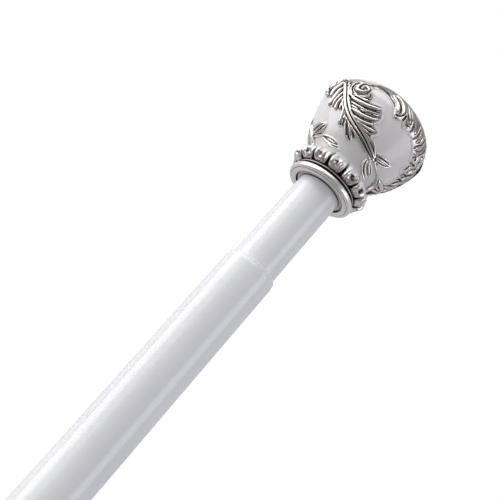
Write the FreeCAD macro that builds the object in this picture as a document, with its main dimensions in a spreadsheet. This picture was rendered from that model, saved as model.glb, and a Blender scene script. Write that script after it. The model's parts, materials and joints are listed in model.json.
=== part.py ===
import FreeCAD, Part
import Sketcher
import math
import os

# Spring tension rod: two telescoping tubes with a twist lock and a spring
# inside, and a cast finial with a rubber wall pad at each end.
# The rod's axis is +X. The origin is the centre of the wall face of the pad
# at the outer tube's end. Millimetres.

os.makedirs("parts", exist_ok=True)
doc = FreeCAD.newDocument("tension_rod")
V = FreeCAD.Vector

# ---------------------------------------------------------------- dimensions
DIMS = [
    # tubes
    ("outer_od", 25.4), ("inner_od", 22.2), ("tube_wall", 0.6),
    ("outer_len", 570.8), ("inner_len", 540.0),
    ("outer_x", 33.2), ("inner_x", 138.0),
    ("mouth_len", 3.8), ("mouth_bore", 11.4), ("mouth_lip", 12.2),
    # finials: u runs from the collar's front to the wall
    ("finial_len", 57.0), ("pad_face", 58.2), ("inner_collar_x", 653.0),
    ("socket_rad", 13.2), ("socket_depth", 27.0), ("tube_depth", 25.0),
    ("lip_rad", 17.5), ("lip_u", 2.0),
    ("ridge_rad", 16.9), ("leaf_rad", 19.9), ("leaf_u", 8.2),
    ("waist_rad", 16.75), ("waist_u", 12.2),
    ("belly_rad", 29.0), ("belly_u", 42.5), ("end_rad", 17.6),
    ("screw_hole", 3.3), ("well_rad", 8.0), ("well_floor", 43.0),
    ("leaf_count", 18), ("slit_wide", 0.9),
    # wall pads
    ("pad_rad", 16.0), ("pad_thick", 2.2), ("spigot_rad", 7.6), ("spigot_len", 5.0),
    # tube plugs, inserts, screws and washers
    ("plug_flange_rad", 13.0), ("plug_flange", 2.0), ("plug_len", 18.0),
    ("insert_rad", 4.98), ("insert_bore", 3.05), ("insert_len", 15.0),
    ("screw_rad", 3.0), ("screw_len", 30.0), ("head_rad", 5.6), ("head_tall", 3.6),
    ("washer_rad", 7.2), ("washer_thick", 1.2),
    ("sleeve_rad", 13.15), ("sleeve_bore", 11.15), ("sleeve_len", 23.9),
    # twist lock
    ("cam_x", 84.0), ("cam_flange_rad", 11.6), ("cam_flange", 3.0),
    ("cam_core", 16.0), ("cam_core_rad", 8.0), ("cam_throw", 0.8), ("cam_bore", 3.05),
    ("ring_rad", 12.03), ("ring_bore", 8.8), ("ring_gap", 0.3), ("ring_slot", 3.0),
    # plunger
    ("rod_tail", 7.0), ("hex_flats", 8.0), ("hex_len", 52.3), ("rod_nose", 10.7),
    ("disc_rad", 10.4), ("disc_thick", 4.0), ("nut_flats", 10.0), ("nut_tall", 5.0),
    # guide bush, spring and stop
    ("bush_flange", 2.0), ("bush_flange_rad", 11.0), ("bush_len", 20.0),
    ("bush_rad", 10.45), ("bush_flats", 8.2),
    ("stop_x", 250.0), ("stop_len", 12.0), ("stop_bore", 4.0),
    ("rivet_rad", 1.5), ("rivet_head_rad", 2.6), ("rivet_head", 0.55), ("rivet_len", 4.0),
    ("wire_rad", 0.9), ("coil_rad", 8.2), ("coil_turns", 15),
]
P = dict(DIMS)
sheet = doc.addObject("Spreadsheet::Sheet", "Dims")
for row, (name, value) in enumerate(DIMS, start=1):
    sheet.set("A%d" % row, name)
    sheet.set("B%d" % row, repr(value))
    sheet.setAlias("B%d" % row, name)
doc.recompute()


class Q:
    """A size: its value now, and the sheet expression it comes from."""

    def __init__(self, value, text):
        self.value = float(value)
        self.text = text

    def mix(self, other, sign, back=False):
        o = other if isinstance(other, Q) else Q(other, repr(float(other)))
        a, b = (o, self) if back else (self, o)
        v = {"+": a.value + b.value, "-": a.value - b.value,
             "*": a.value * b.value}[sign] if sign != "/" else a.value / b.value
        return Q(v, "(%s %s %s)" % (a.text, sign, b.text))

    def __add__(self, o): return self.mix(o, "+")
    def __radd__(self, o): return self.mix(o, "+", True)
    def __sub__(self, o): return self.mix(o, "-")
    def __rsub__(self, o): return self.mix(o, "-", True)
    def __mul__(self, o): return self.mix(o, "*")
    def __rmul__(self, o): return self.mix(o, "*", True)
    def __truediv__(self, o): return self.mix(o, "/")


def D(name):
    return Q(P[name], "Dims." + name)


def N(x):
    return x if isinstance(x, Q) else Q(x, repr(float(x)))


NODES = {}


def new_body(label, x=0.0, flip=False):
    body = doc.addObject("PartDesign::Body", label)
    body.Label = label
    x = N(x)
    turn = FreeCAD.Rotation(V(0, 0, 1), 180) if flip else FreeCAD.Rotation()
    body.Placement = FreeCAD.Placement(V(x.value, 0, 0), turn)
    body.setExpression(".Placement.Base.x", x.text)
    NODES[label] = body
    return body


def datum(body, role):
    for o in body.Origin.OriginFeatures:
        if o.Role == role:
            return o
    raise RuntimeError("no " + role)


def new_sketch(body, name, role, offset=None):
    s = body.newObject("Sketcher::SketchObject", name)
    s.AttachmentSupport = [(datum(body, role), "")]
    s.MapMode = "FlatFace"
    if offset is not None:
        offset = N(offset)
        s.AttachmentOffset = FreeCAD.Placement(V(0, 0, offset.value), FreeCAD.Rotation())
        s.setExpression(".AttachmentOffset.Base.z", offset.text)
    return s


def bind(s, kind, geo, pos, q):
    """Hold one coordinate of a sketch point at a size from the sheet."""
    if abs(q.value) < 1e-9:
        s.addConstraint(Sketcher.Constraint("PointOnObject", geo, pos, -2 if kind == "DistanceX" else -1))
        return
    i = s.addConstraint(Sketcher.Constraint(kind, -1, 1, geo, pos, q.value))
    s.setExpression("Constraints[%d]" % i, q.text)


def outline(s, start, steps):
    """Closed outline: steps are ("L", point) or ("A", middle point, point)."""
    start = (N(start[0]), N(start[1]))
    here = start
    ends = []
    for k, st in enumerate(steps):
        to = (N(st[-1][0]), N(st[-1][1])) if k < len(steps) - 1 else start
        a, b = V(here[0].value, here[1].value, 0), V(to[0].value, to[1].value, 0)
        if st[0] == "L":
            g = s.addGeometry(Part.LineSegment(a, b), False)
            ends.append((g, 1, 2, to))
        else:
            m = V(float(N(st[1][0]).value), float(N(st[1][1]).value), 0)
            g = s.addGeometry(Part.Arc(a, m, b), False)
            p1, p2 = (1, 2) if s.getPoint(g, 1).sub(a).Length < s.getPoint(g, 2).sub(a).Length else (2, 1)
            s.addConstraint(Sketcher.Constraint("Radius", g, s.Geometry[g].Radius))
            ends.append((g, p1, p2, to))
        here = to
    n = len(ends)
    for k in range(n):
        g, p1, p2, to = ends[k]
        g2, q1, q2, to2 = ends[(k + 1) % n]
        s.addConstraint(Sketcher.Constraint("Coincident", g, p2, g2, q1))
        bind(s, "DistanceX", g, p2, to[0])
        bind(s, "DistanceY", g, p2, to[1])


def turned(body, name, start, steps):
    """A profile turned all the way round the body's X axis."""
    s = new_sketch(body, name + "_profile", "XY_Plane")
    outline(s, start, steps)
    r = body.newObject("PartDesign::Revolution", name)
    r.Profile = s
    r.ReferenceAxis = (s, ["H_Axis"])
    r.Angle = 360
    doc.recompute()
    return r


def circle(s, rad, cy=0.0, cz=0.0):
    rad, cy, cz = N(rad), N(cy), N(cz)
    g = s.addGeometry(Part.Circle(V(cy.value, cz.value, 0), V(0, 0, 1), rad.value), False)
    i = s.addConstraint(Sketcher.Constraint("Radius", g, rad.value))
    s.setExpression("Constraints[%d]" % i, rad.text)
    if abs(cy.value) < 1e-9 and abs(cz.value) < 1e-9:
        s.addConstraint(Sketcher.Constraint("Coincident", g, 3, -1, 1))
    else:
        bind(s, "DistanceX", g, 3, cy)
        bind(s, "DistanceY", g, 3, cz)
    return g


def hexagon(s, flats):
    """Hexagon across flats, centred on the axis, flats facing +-Z."""
    flats = N(flats)
    geo = []
    half, corner = flats / 2, flats / math.sqrt(3)
    pts = [(corner, N(0)), (corner / 2, half), (corner / -2, half),
           (corner * -1, N(0)), (corner / -2, half * -1), (corner / 2, half * -1)]
    for k in range(6):
        a, b = pts[k], pts[(k + 1) % 6]
        geo.append(s.addGeometry(Part.LineSegment(V(a[0].value, a[1].value, 0), V(b[0].value, b[1].value, 0)), False))
    for k in range(6):
        s.addConstraint(Sketcher.Constraint("Coincident", geo[k], 2, geo[(k + 1) % 6], 1))
        bind(s, "DistanceX", geo[k], 1, pts[k][0])
        bind(s, "DistanceY", geo[k], 1, pts[k][1])


def pad(body, name, offset, length, draw):
    s = new_sketch(body, name + "_sketch", "YZ_Plane", offset)
    draw(s)
    f = body.newObject("PartDesign::Pad", name)
    f.Profile = s
    length = N(length)
    f.Length = length.value
    f.setExpression("Length", length.text)
    doc.recompute()
    return f


def cut(body, name, role, offset, draw, length=None, both=False, reverse=False):
    """A pocket. With no length it goes right through."""
    before = body.Shape.Volume
    s = new_sketch(body, name + "_sketch", role, offset)
    draw(s)
    f = body.newObject("PartDesign::Pocket", name)
    f.Profile = s
    if length is None:
        f.Type = "ThroughAll"
    else:
        length = N(length)
        f.Length = length.value
        f.setExpression("Length", length.text)
    if both:
        if hasattr(f, "SideType"):
            f.SideType = "Symmetric"
        else:
            f.Midplane = True
    f.Reversed = reverse
    doc.recompute()
    if not body.Shape.Volume < before - 1e-3:
        raise RuntimeError("%s cuts nothing" % name)
    return f


def box_outline(y0, y1, x0, x1):
    def draw(s):
        outline(s, (x0, y0), [("L", (x1, y0)), ("L", (x1, y1)), ("L", (x0, y1)), ("L", (x0, y0))])
    return draw


# ---------------------------------------------------------------- tubes
def tube_ring(od):
    return D(od) / 2, D(od) / 2 - D("tube_wall")


ro, ri = tube_ring("outer_od")
L = D("outer_len")
b = new_body("outer_tube", D("outer_x"))
# the mouth is drawn in to guide the inner tube and ends in a small round lip
turned(b, "tube", (0, ri), [
    ("L", (0, ro)),
    ("L", (L - D("mouth_len"), ro)),
    ("A", (L - 1.9, D("mouth_lip") + 0.36), (L - 0.6, D("mouth_lip"))),
    ("A", (L - 0.14, D("mouth_lip") - 0.22), (L, D("mouth_bore") + 0.3)),
    ("L", (L, D("mouth_bore"))),
    ("L", (L - 1.2, D("mouth_bore"))),
    ("L", (L - D("mouth_len") - 0.4, ri)),
    ("L", (0, ri)),
])

ro2, ri2 = tube_ring("inner_od")
b = new_body("inner_tube", D("inner_x"))
turned(b, "tube", (0, ri2), [
    ("L", (0, ro2)), ("L", (D("inner_len"), ro2)), ("L", (D("inner_len"), ri2)), ("L", (0, ri2))])
bush_pin_x = D("bush_len") / 2
stop_pin_x = D("stop_x") + D("stop_len") / 2 - D("inner_x")


def two_pins(s):
    circle(s, D("rivet_rad") + 0.03, bush_pin_x)
    circle(s, D("rivet_rad") + 0.03, stop_pin_x)


cut(b, "rivet_holes", "XY_Plane", None, two_pins, both=True)

# ---------------------------------------------------------------- finials
def finial(label, x, flip):
    body = new_body(label, x, flip)
    sr = D("socket_rad")
    wu, wr = D("waist_u"), D("waist_rad")
    bu, br = D("belly_u"), D("belly_rad")
    end = D("finial_len")
    turned(body, "casting", (0.3, sr), [
        # collar: flat ring round the tube, then a rounded lip
        ("A", (0.15, 15.2), (0.35, 16.0)),
        ("A", (0.8, 17.0), (D("lip_u"), D("lip_rad"))),
        ("A", (2.9, 17.25), (3.3, 16.5)),
        ("L", (3.9, 15.9)), ("L", (4.4, 15.9)),
        # thin ridge between two grooves
        ("A", (5.0, D("ridge_rad")), (5.6, 15.9)),
        ("L", (6.1, 16.2)),
        # band that the folded leaves are cut from
        ("A", (D("leaf_u"), D("leaf_rad")), (11.0, 17.6)),
        ("L", (wu, wr)),
        # waist, flare, belly and shoulder down to the wall end
        ("A", (15.8, 17.2), (20.5, 19.8)),
        ("A", (30.4, 25.6), (bu, br)),
        ("A", (51.4, 25.4), (56.2, D("end_rad"))),
        ("L", (end, D("end_rad") - 0.4)),
        # seat for the pad, screw well, screw hole, socket for the tube
        ("L", (end, D("pad_rad") + 0.3)),
        ("L", (end - 1.0, D("pad_rad") + 0.3)),
        ("L", (end - 1.0, D("well_rad"))),
        ("L", (D("well_floor"), D("well_rad"))),
        ("L", (D("well_floor"), D("screw_hole"))),
        ("L", (D("socket_depth"), D("screw_hole"))),
        ("L", (D("socket_depth"), sr)),
        ("L", (0.3, sr)),
    ])
    # slits that part the band into folded leaves
    slit = cut(body, "slit", "XY_Plane", None, box_outline(18.0, 22.0, 6.3, 10.8),
               length=D("slit_wide"), both=True)
    ring = body.newObject("PartDesign::PolarPattern", "slits")
    ring.Originals = [slit]
    ring.Axis = (datum(body, "X_Axis"), [""])
    ring.Angle = 360
    ring.Occurrences = int(P["leaf_count"])
    ring.setExpression("Occurrences", "Dims.leaf_count")
    body.Tip = ring
    doc.recompute()
    if not body.Shape.Volume < slit.Shape.Volume - 1.0:
        raise RuntimeError("the slits aren't patterned")
    return body


finial("outer_finial", D("pad_face"), True)
finial("inner_finial", D("inner_collar_x"), False)


# ---------------------------------------------------------------- what holds a finial on
def tube_plug(label, x, flip, bore_rad):
    """Nylon plug pressed into the tube's end: flange, barbs, hole for the insert."""
    body = new_body(label, x, flip)
    # u runs from the socket floor back into the tube
    f = D("plug_flange")
    core = bore_rad - 0.3
    barb = bore_rad - 0.02
    tip = f + D("plug_len")
    hole = D("insert_rad") + 0.02
    turned(body, "plug", (0, hole), [
        ("L", (0, D("plug_flange_rad"))), ("L", (f, D("plug_flange_rad"))), ("L", (f, core)),
        ("L", (f + 3.0, core)), ("L", (f + 3.0, barb)), ("L", (f + 5.0, core)),
        ("L", (f + 8.0, core)), ("L", (f + 8.0, barb)), ("L", (f + 10.0, core)),
        ("L", (f + 13.0, core)), ("L", (f + 13.0, barb)), ("L", (f + 15.0, core)),
        ("L", (tip - 0.8, core)), ("L", (tip, core - 0.8)),
        ("L", (tip, hole)), ("L", (0, hole))])
    return body


def insert(label, x, flip):
    """Brass threaded insert with two rings of grooves round it."""
    body = new_body(label, x, flip)
    r, n, q = D("insert_rad"), D("insert_len"), D("insert_bore")
    turned(body, "insert", (0, q), [
        ("L", (0, r)), ("L", (4.0, r)), ("L", (4.6, r - 0.6)), ("L", (5.6, r - 0.6)), ("L", (6.2, r)),
        ("L", (9.0, r)), ("L", (9.6, r - 0.6)), ("L", (10.6, r - 0.6)), ("L", (11.2, r)),
        ("L", (n, r)), ("L", (n, q)), ("L", (0, q))])
    return body


def finial_screw(label, x, flip):
    """Pan head screw: u runs from under the head along the shank."""
    body = new_body(label, x, flip)
    hr, ht, sr, n = D("head_rad"), D("head_tall"), D("screw_rad"), D("screw_len") + D("washer_thick")
    turned(body, "screw", (0, 0), [
        ("L", (0, 0.8)),
        ("A", (0.7, 4.0), (1.9, hr)),
        ("L", (ht, hr)), ("L", (ht, sr)), ("L", (ht + n - 1.2, sr)), ("L", (ht + n, sr - 1.2)),
        ("L", (ht + n, 0)), ("L", (0, 0))])

    def cross(s):
        a, c = 3.2, 0.55
        pts = [(-a, -c), (-c, -c), (-c, -a), (c, -a), (c, -c), (a, -c),
               (a, c), (c, c), (c, a), (-c, a), (-c, c), (-a, c)]
        geo = []
        for k in range(12):
            p, q = pts[k], pts[(k + 1) % 12]
            geo.append(s.addGeometry(Part.LineSegment(V(p[0], p[1], 0), V(q[0], q[1], 0)), False))
        for k in range(12):
            s.addConstraint(Sketcher.Constraint("Coincident", geo[k], 2, geo[(k + 1) % 12], 1))
            bind(s, "DistanceX", geo[k], 1, N(pts[k][0]))
            bind(s, "DistanceY", geo[k], 1, N(pts[k][1]))

    cut(body, "recess", "YZ_Plane", None, cross, length=2.2, reverse=True)
    return body


def washer(label, x, flip):
    body = new_body(label, x, flip)
    turned(body, "washer", (0, D("screw_hole")), [
        ("L", (0, D("washer_rad"))), ("L", (D("washer_thick"), D("washer_rad"))),
        ("L", (D("washer_thick"), D("screw_hole"))), ("L", (0, D("screw_hole")))])
    return body


def wall_pad(label, x, flip):
    """Rubber pad: u runs from the spigot's end out to the wall."""
    body = new_body(label, x, flip)
    sl, pt, pr, sp = D("spigot_len"), D("pad_thick"), D("pad_rad"), D("spigot_rad")
    turned(body, "pad", (0, 0), [
        ("L", (0, sp - 0.6)), ("L", (0.6, sp)), ("L", (sl, sp)), ("L", (sl, pr)),
        ("L", (sl + pt - 0.5, pr)), ("A", (sl + pt - 0.146, pr - 0.146), (sl + pt, pr - 0.5)),
        ("L", (sl + pt, 0)), ("L", (0, 0))])
    return body


def end_set(side, collar_x, sign):
    """Everything at one end, placed by distances from the collar's front."""
    out = sign < 0

    def at(u):
        return collar_x + u * sign

    bore = D("outer_od") / 2 - D("tube_wall") if out else D("inner_od") / 2 - D("tube_wall")
    # the plug's own axis runs back into the tube, away from the wall
    tube_plug(side + "_tube_plug", at(D("socket_depth")), not out, bore)
    insert(side + "_threaded_insert", at(D("socket_depth")), not out)
    finial_screw(side + "_finial_screw",
                 at(D("well_floor") + D("washer_thick") + D("head_tall")), not out)
    washer(side + "_screw_washer", at(D("well_floor")), out)
    wall_pad(side + "_wall_pad", at(D("finial_len") - 1.0 - D("spigot_len")), out)


end_set("outer", D("pad_face"), -1)
end_set("inner", D("inner_collar_x"), 1)

# sleeve that fills the socket round the smaller tube, almost to the collar's face
b = new_body("adapter_sleeve", D("inner_collar_x") + D("tube_depth") - D("sleeve_len"))
n = D("sleeve_len")
turned(b, "sleeve", (0, D("sleeve_bore")), [
    ("L", (0, D("sleeve_rad") - 0.5)), ("L", (0.5, D("sleeve_rad"))), ("L", (n, D("sleeve_rad"))),
    ("L", (n, D("sleeve_bore"))), ("L", (0, D("sleeve_bore")))])

# ---------------------------------------------------------------- twist lock
cx = D("cam_x")
b = new_body("lock_cam", cx)
fl, core = D("cam_flange"), D("cam_core")
pad(b, "flange_near", 0, fl, lambda s: circle(s, D("cam_flange_rad")))
pad(b, "core", fl, core, lambda s: circle(s, D("cam_core_rad"), 0, D("cam_throw")))
pad(b, "flange_far", fl + core, fl, lambda s: circle(s, D("cam_flange_rad")))
cut(b, "bore", "YZ_Plane", None, lambda s: circle(s, D("cam_bore")), both=True)

b = new_body("friction_ring", cx + fl + D("ring_gap"))
ring_len = core - D("ring_gap") * 2


def ring_face(s):
    circle(s, D("ring_rad"))
    circle(s, D("ring_bore"), 0, D("cam_throw"))


pad(b, "ring", 0, ring_len, ring_face)
half_slot = D("ring_slot") / 2


def slot_face(s):
    outline(s, (half_slot * -1, 0.0 + N(-14.0)), [
        ("L", (half_slot, N(-14.0))), ("L", (half_slot, N(-5.0))),
        ("L", (half_slot * -1, N(-5.0))), ("L", (half_slot * -1, N(-14.0)))])


cut(b, "slot", "YZ_Plane", None, slot_face, both=True)

# ---------------------------------------------------------------- plunger
# turned tail through the cam, hexagonal length through the bush, turned nose
b = new_body("plunger_rod", cx - D("rod_tail"))
tail = D("rod_tail") + fl * 2 + core
whole = tail + D("hex_len") + D("rod_nose")
turned(b, "shank", (0, 0), [
    ("L", (0, D("screw_rad") - 0.5)), ("L", (0.5, D("screw_rad"))), ("L", (whole - 0.5, D("screw_rad"))),
    ("L", (whole, D("screw_rad") - 0.5)), ("L", (whole, 0)), ("L", (0, 0))])
pad(b, "hexagon", tail, D("hex_len"), lambda s: hexagon(s, D("hex_flats")))


def nut(label, x):
    body = new_body(label, x)

    def face(s):
        hexagon(s, D("nut_flats"))
        circle(s, D("insert_bore"))
    pad(body, "nut", 0, D("nut_tall"), face)


nut("cam_nut", cx - D("nut_tall"))
disc_x = cx + fl * 2 + core + D("hex_len")
b = new_body("spring_disc", disc_x)
dt = D("disc_thick")
turned(b, "disc", (0, D("insert_bore")), [
    ("L", (0, D("disc_rad") - 0.5)), ("L", (0.5, D("disc_rad"))), ("L", (dt - 0.5, D("disc_rad"))),
    ("L", (dt, D("disc_rad") - 0.5)), ("L", (dt, D("insert_bore"))), ("L", (0, D("insert_bore")))])
nut("disc_nut", disc_x + dt)

# ---------------------------------------------------------------- bush and stop
b = new_body("guide_bush", D("inner_x") - D("bush_flange"))
bf, bl = D("bush_flange"), D("bush_len")
turned(b, "bush", (0, 0), [
    ("L", (0, D("bush_flange_rad") - 0.5)), ("L", (0.5, D("bush_flange_rad"))),
    ("L", (bf, D("bush_flange_rad"))), ("L", (bf, D("bush_rad"))),
    ("L", (bf + bl, D("bush_rad"))), ("L", (bf + bl, 0)), ("L", (0, 0))])
cut(b, "hexagon_hole", "YZ_Plane", None, lambda s: hexagon(s, D("bush_flats")), both=True)
cut(b, "rivet_hole", "XY_Plane", None, lambda s: circle(s, D("rivet_rad") + 0.01, bf + bush_pin_x), both=True)

b = new_body("spring_stop", D("stop_x"))
turned(b, "stop", (0, D("stop_bore")), [
    ("L", (0, D("bush_rad"))), ("L", (D("stop_len"), D("bush_rad"))),
    ("L", (D("stop_len"), D("stop_bore"))), ("L", (0, D("stop_bore")))])
cut(b, "rivet_hole", "XY_Plane", None, lambda s: circle(s, D("rivet_rad") + 0.01, D("stop_len") / 2), both=True)


def rivet_pair(label, x):
    """Two rivets, from above and below, through the tube into what it holds."""
    x = N(x)
    parts = []
    wall = D("inner_od") / 2
    for k, sign in enumerate((1, -1)):
        turn = FreeCAD.Rotation() if sign > 0 else FreeCAD.Rotation(V(1, 0, 0), 180)
        pin = doc.addObject("Part::Cylinder", "%s_pin%d" % (label, k))
        pin.Radius = P["rivet_rad"]
        pin.setExpression("Radius", "Dims.rivet_rad")
        pin.Height = P["rivet_len"] + 0.2
        pin.setExpression("Height", "Dims.rivet_len + 0.2")
        z = wall - D("rivet_len") if sign > 0 else (wall - D("rivet_len")) * -1
        pin.Placement = FreeCAD.Placement(V(x.value, 0, z.value), turn)
        head = doc.addObject("Part::Cone", "%s_head%d" % (label, k))
        head.Radius1 = P["rivet_head_rad"]
        head.setExpression("Radius1", "Dims.rivet_head_rad")
        head.Radius2 = P["rivet_head_rad"] - 0.9
        head.setExpression("Radius2", "Dims.rivet_head_rad - 0.9")
        head.Height = P["rivet_head"]
        head.setExpression("Height", "Dims.rivet_head")
        z2 = wall + 0.02 if sign > 0 else (wall + 0.02) * -1
        head.Placement = FreeCAD.Placement(V(x.value, 0, z2.value), turn)
        for o, zz in ((pin, z), (head, z2)):
            o.setExpression(".Placement.Base.x", x.text)
            o.setExpression(".Placement.Base.z", zz.text)
        one = doc.addObject("Part::Fuse", "%s_rivet%d" % (label, k))
        one.Base, one.Tool = pin, head
        parts.append(one)
    both = doc.addObject("Part::Compound", label)
    both.Links = parts
    both.Label = label
    NODES[label] = both


rivet_pair("bush_rivets", D("inner_x") + bush_pin_x)
rivet_pair("stop_rivets", D("inner_x") + stop_pin_x)

# ---------------------------------------------------------------- spring
wire = D("wire_rad")
spring_x0 = disc_x + dt + wire + 0.1
spring_span = D("stop_x") - spring_x0 - wire - 0.1
helix = doc.addObject("Part::Helix", "spring_line")
helix.Radius = P["coil_rad"]
helix.setExpression("Radius", "Dims.coil_rad")
helix.Pitch = spring_span.value / P["coil_turns"]
helix.setExpression("Pitch", "%s / Dims.coil_turns" % spring_span.text)
helix.Height = spring_span.value
helix.setExpression("Height", spring_span.text)
ringlet = doc.addObject("Part::Circle", "spring_wire")
ringlet.Radius = P["wire_rad"]
ringlet.setExpression("Radius", "Dims.wire_rad")
ringlet.Placement = FreeCAD.Placement(V(P["coil_rad"], 0, 0), FreeCAD.Rotation(V(1, 0, 0), 90))
ringlet.setExpression(".Placement.Base.x", "Dims.coil_rad")
coil = doc.addObject("Part::Sweep", "power_spring")
coil.Label = "power_spring"
coil.Sections = [ringlet]
coil.Spine = (helix, ["Edge1"])
coil.Solid = True
coil.Frenet = True
coil.Placement = FreeCAD.Placement(V(spring_x0.value, 0, 0), FreeCAD.Rotation(V(0, 1, 0), 90))
coil.setExpression(".Placement.Base.x", spring_x0.text)
NODES["power_spring"] = coil

# ---------------------------------------------------------------- check and write
doc.recompute()
for o in doc.Objects:
    if any(w in o.State for w in ("Invalid", "Error")):
        raise RuntimeError("%s failed: %s" % (o.Label, o.State))
for name, o in NODES.items():
    sh = o.Shape
    if sh.isNull() or not sh.isValid() or not sh.Solids:
        raise RuntimeError("%s has no valid solid" % name)
    if sh.Volume <= 0:
        raise RuntimeError("%s is inside out" % name)
for name, o in NODES.items():
    sh = o.Shape
    sh.exportStep("parts/%s.step" % name)
    bb = sh.BoundBox
    print("%-24s %d solid(s) %10.2f mm3  x %.2f..%.2f  r %.2f" % (
        name, len(sh.Solids), sh.Volume, bb.XMin, bb.XMax, max(bb.YMax, bb.ZMax)))
print(len(NODES), "nodes")
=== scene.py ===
import json
import math
import re

import bmesh
import bpy
import numpy as np
from mathutils import Matrix, Vector


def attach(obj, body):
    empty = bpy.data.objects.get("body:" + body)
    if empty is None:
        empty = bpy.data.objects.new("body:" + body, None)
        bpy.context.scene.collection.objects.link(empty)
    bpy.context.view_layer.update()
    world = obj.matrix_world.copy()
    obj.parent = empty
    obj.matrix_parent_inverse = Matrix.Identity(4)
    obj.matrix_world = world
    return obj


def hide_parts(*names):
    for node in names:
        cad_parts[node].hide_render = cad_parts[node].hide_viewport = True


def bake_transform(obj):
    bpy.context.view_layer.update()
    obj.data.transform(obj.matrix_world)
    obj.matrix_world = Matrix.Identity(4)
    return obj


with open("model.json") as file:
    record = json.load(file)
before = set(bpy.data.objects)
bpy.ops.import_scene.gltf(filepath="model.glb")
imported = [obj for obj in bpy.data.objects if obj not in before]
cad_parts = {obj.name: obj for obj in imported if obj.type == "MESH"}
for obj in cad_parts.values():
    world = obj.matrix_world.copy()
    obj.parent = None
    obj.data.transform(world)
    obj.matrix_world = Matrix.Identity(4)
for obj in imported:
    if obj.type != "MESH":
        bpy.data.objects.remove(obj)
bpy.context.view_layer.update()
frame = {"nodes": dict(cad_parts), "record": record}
NODES = frame["nodes"]
MM = 0.001
TAU = 2 * math.pi

# A finial is drawn in its own coordinates: u in mm from the collar's front
# towards the wall, and an angle round the rod's axis. PLACE turns those into
# the frame of the rod.
INNER_X = 653.0
OUTER_X = 58.2


def place(co, end):
    """Local (u, y, z) in mm to frame metres, for one of the two ends."""
    co = np.asarray(co, float)
    out = np.empty_like(co)
    if end == "inner":
        out[:, 0], out[:, 1], out[:, 2] = INNER_X + co[:, 0], co[:, 1], co[:, 2]
    else:
        out[:, 0], out[:, 1], out[:, 2] = OUTER_X - co[:, 0], -co[:, 1], co[:, 2]
    return out * MM


# ------------------------------------------------------------------ outlines
def arc3(a, m, b, n):
    """Points on the arc through a, m and b, without a itself."""
    (ax, ay), (mx, my), (bx, by) = a, m, b
    d = 2 * (ax * (my - by) + mx * (by - ay) + bx * (ay - my))
    ux = ((ax * ax + ay * ay) * (my - by) + (mx * mx + my * my) * (by - ay)
          + (bx * bx + by * by) * (ay - my)) / d
    uy = ((ax * ax + ay * ay) * (bx - mx) + (mx * mx + my * my) * (ax - bx)
          + (bx * bx + by * by) * (mx - ax)) / d
    r = math.hypot(ax - ux, ay - uy)
    t = [math.atan2(q[1] - uy, q[0] - ux) for q in (a, m, b)]
    for i in (1, 2):
        while t[i] - t[i - 1] > math.pi:
            t[i] -= TAU
        while t[i] - t[i - 1] < -math.pi:
            t[i] += TAU
    return [(ux + r * math.cos(v), uy + r * math.sin(v))
            for v in np.linspace(t[0], t[2], n + 1)[1:]]


def outline(start, steps, step=0.35):
    """Points of a profile from lines ("L", p) and arcs ("A", middle, end)."""
    pts = [start]
    for s in steps:
        a = pts[-1]
        if s[0] == "L":
            pts.append(s[1])
        else:
            n = max(4, int(math.dist(a, s[1]) + math.dist(s[1], s[2])) / step)
            pts += arc3(a, s[1], s[2], int(n))
    return pts


# -------------------------------------------------------------------- meshes
def make(name, verts, faces, material, body=None, sharp=35.0, fix=True, attrs=None):
    me = bpy.data.meshes.new(name)
    me.from_pydata([tuple(v) for v in verts], [], [tuple(f) for f in faces])
    if fix:
        bm = bmesh.new()
        bm.from_mesh(me)
        bmesh.ops.recalc_face_normals(bm, faces=bm.faces)
        bm.to_mesh(me)
        bm.free()
    for key, values in (attrs or {}).items():
        at = me.attributes.new(key, "FLOAT", "POINT")
        at.data.foreach_set("value", np.asarray(values, np.float32))
    me.shade_smooth()
    me.set_sharp_from_angle(angle=math.radians(sharp))
    ob = bpy.data.objects.new(name, me)
    bpy.context.scene.collection.objects.link(ob)
    me.materials.append(material)
    if body:
        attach(ob, body)
    return ob


def lathe(profile, segs=192, closed=True):
    """Verts and faces of a profile of (u, R) turned round the u axis."""
    pr = np.array(profile, float)
    a = np.arange(segs) / segs * TAU
    c, s = np.cos(a), np.sin(a)
    v = np.stack([np.repeat(pr[:, 0], segs), (pr[:, 1:2] * c).ravel(), (pr[:, 1:2] * s).ravel()], 1)
    n = len(pr)
    f = []
    for i in range(n if closed else n - 1):
        j = (i + 1) % n
        for k in range(segs):
            l = (k + 1) % segs
            f.append((i * segs + k, i * segs + l, j * segs + l, j * segs + k))
    return v, f


def grid_faces(rows, cols, wrap=False):
    f = []
    for i in range(rows - 1):
        for k in range(cols if wrap else cols - 1):
            l = (k + 1) % cols
            f.append((i * cols + k, i * cols + l, (i + 1) * cols + l, (i + 1) * cols + k))
    return f


def smooth_path(points, step=0.3):
    """A Catmull-Rom curve through points (any number of columns), resampled."""
    p = np.array(points, float)
    if len(p) < 3:
        q = p
    else:
        e = np.vstack([2 * p[0] - p[1], p, 2 * p[-1] - p[-2]])
        out = []
        for i in range(1, len(e) - 2):
            p0, p1, p2, p3 = e[i - 1], e[i], e[i + 1], e[i + 2]
            for t in np.linspace(0, 1, 8, endpoint=False):
                out.append(0.5 * (2 * p1 + (p2 - p0) * t + (2 * p0 - 5 * p1 + 4 * p2 - p3) * t * t
                                  + (3 * p1 - p0 - 3 * p2 + p3) * t ** 3))
        out.append(p[-1])
        q = np.array(out)
    return q


# ----------------------------------------------------------------- materials
def nodes_of(name):
    m = bpy.data.materials.new(name)
    m.use_nodes = True
    t = m.node_tree
    b = t.nodes["Principled BSDF"]
    return m, t, b


def add(t, kind, **props):
    n = t.nodes.new(kind)
    for k, v in props.items():
        setattr(n, k, v)
    return n


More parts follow.
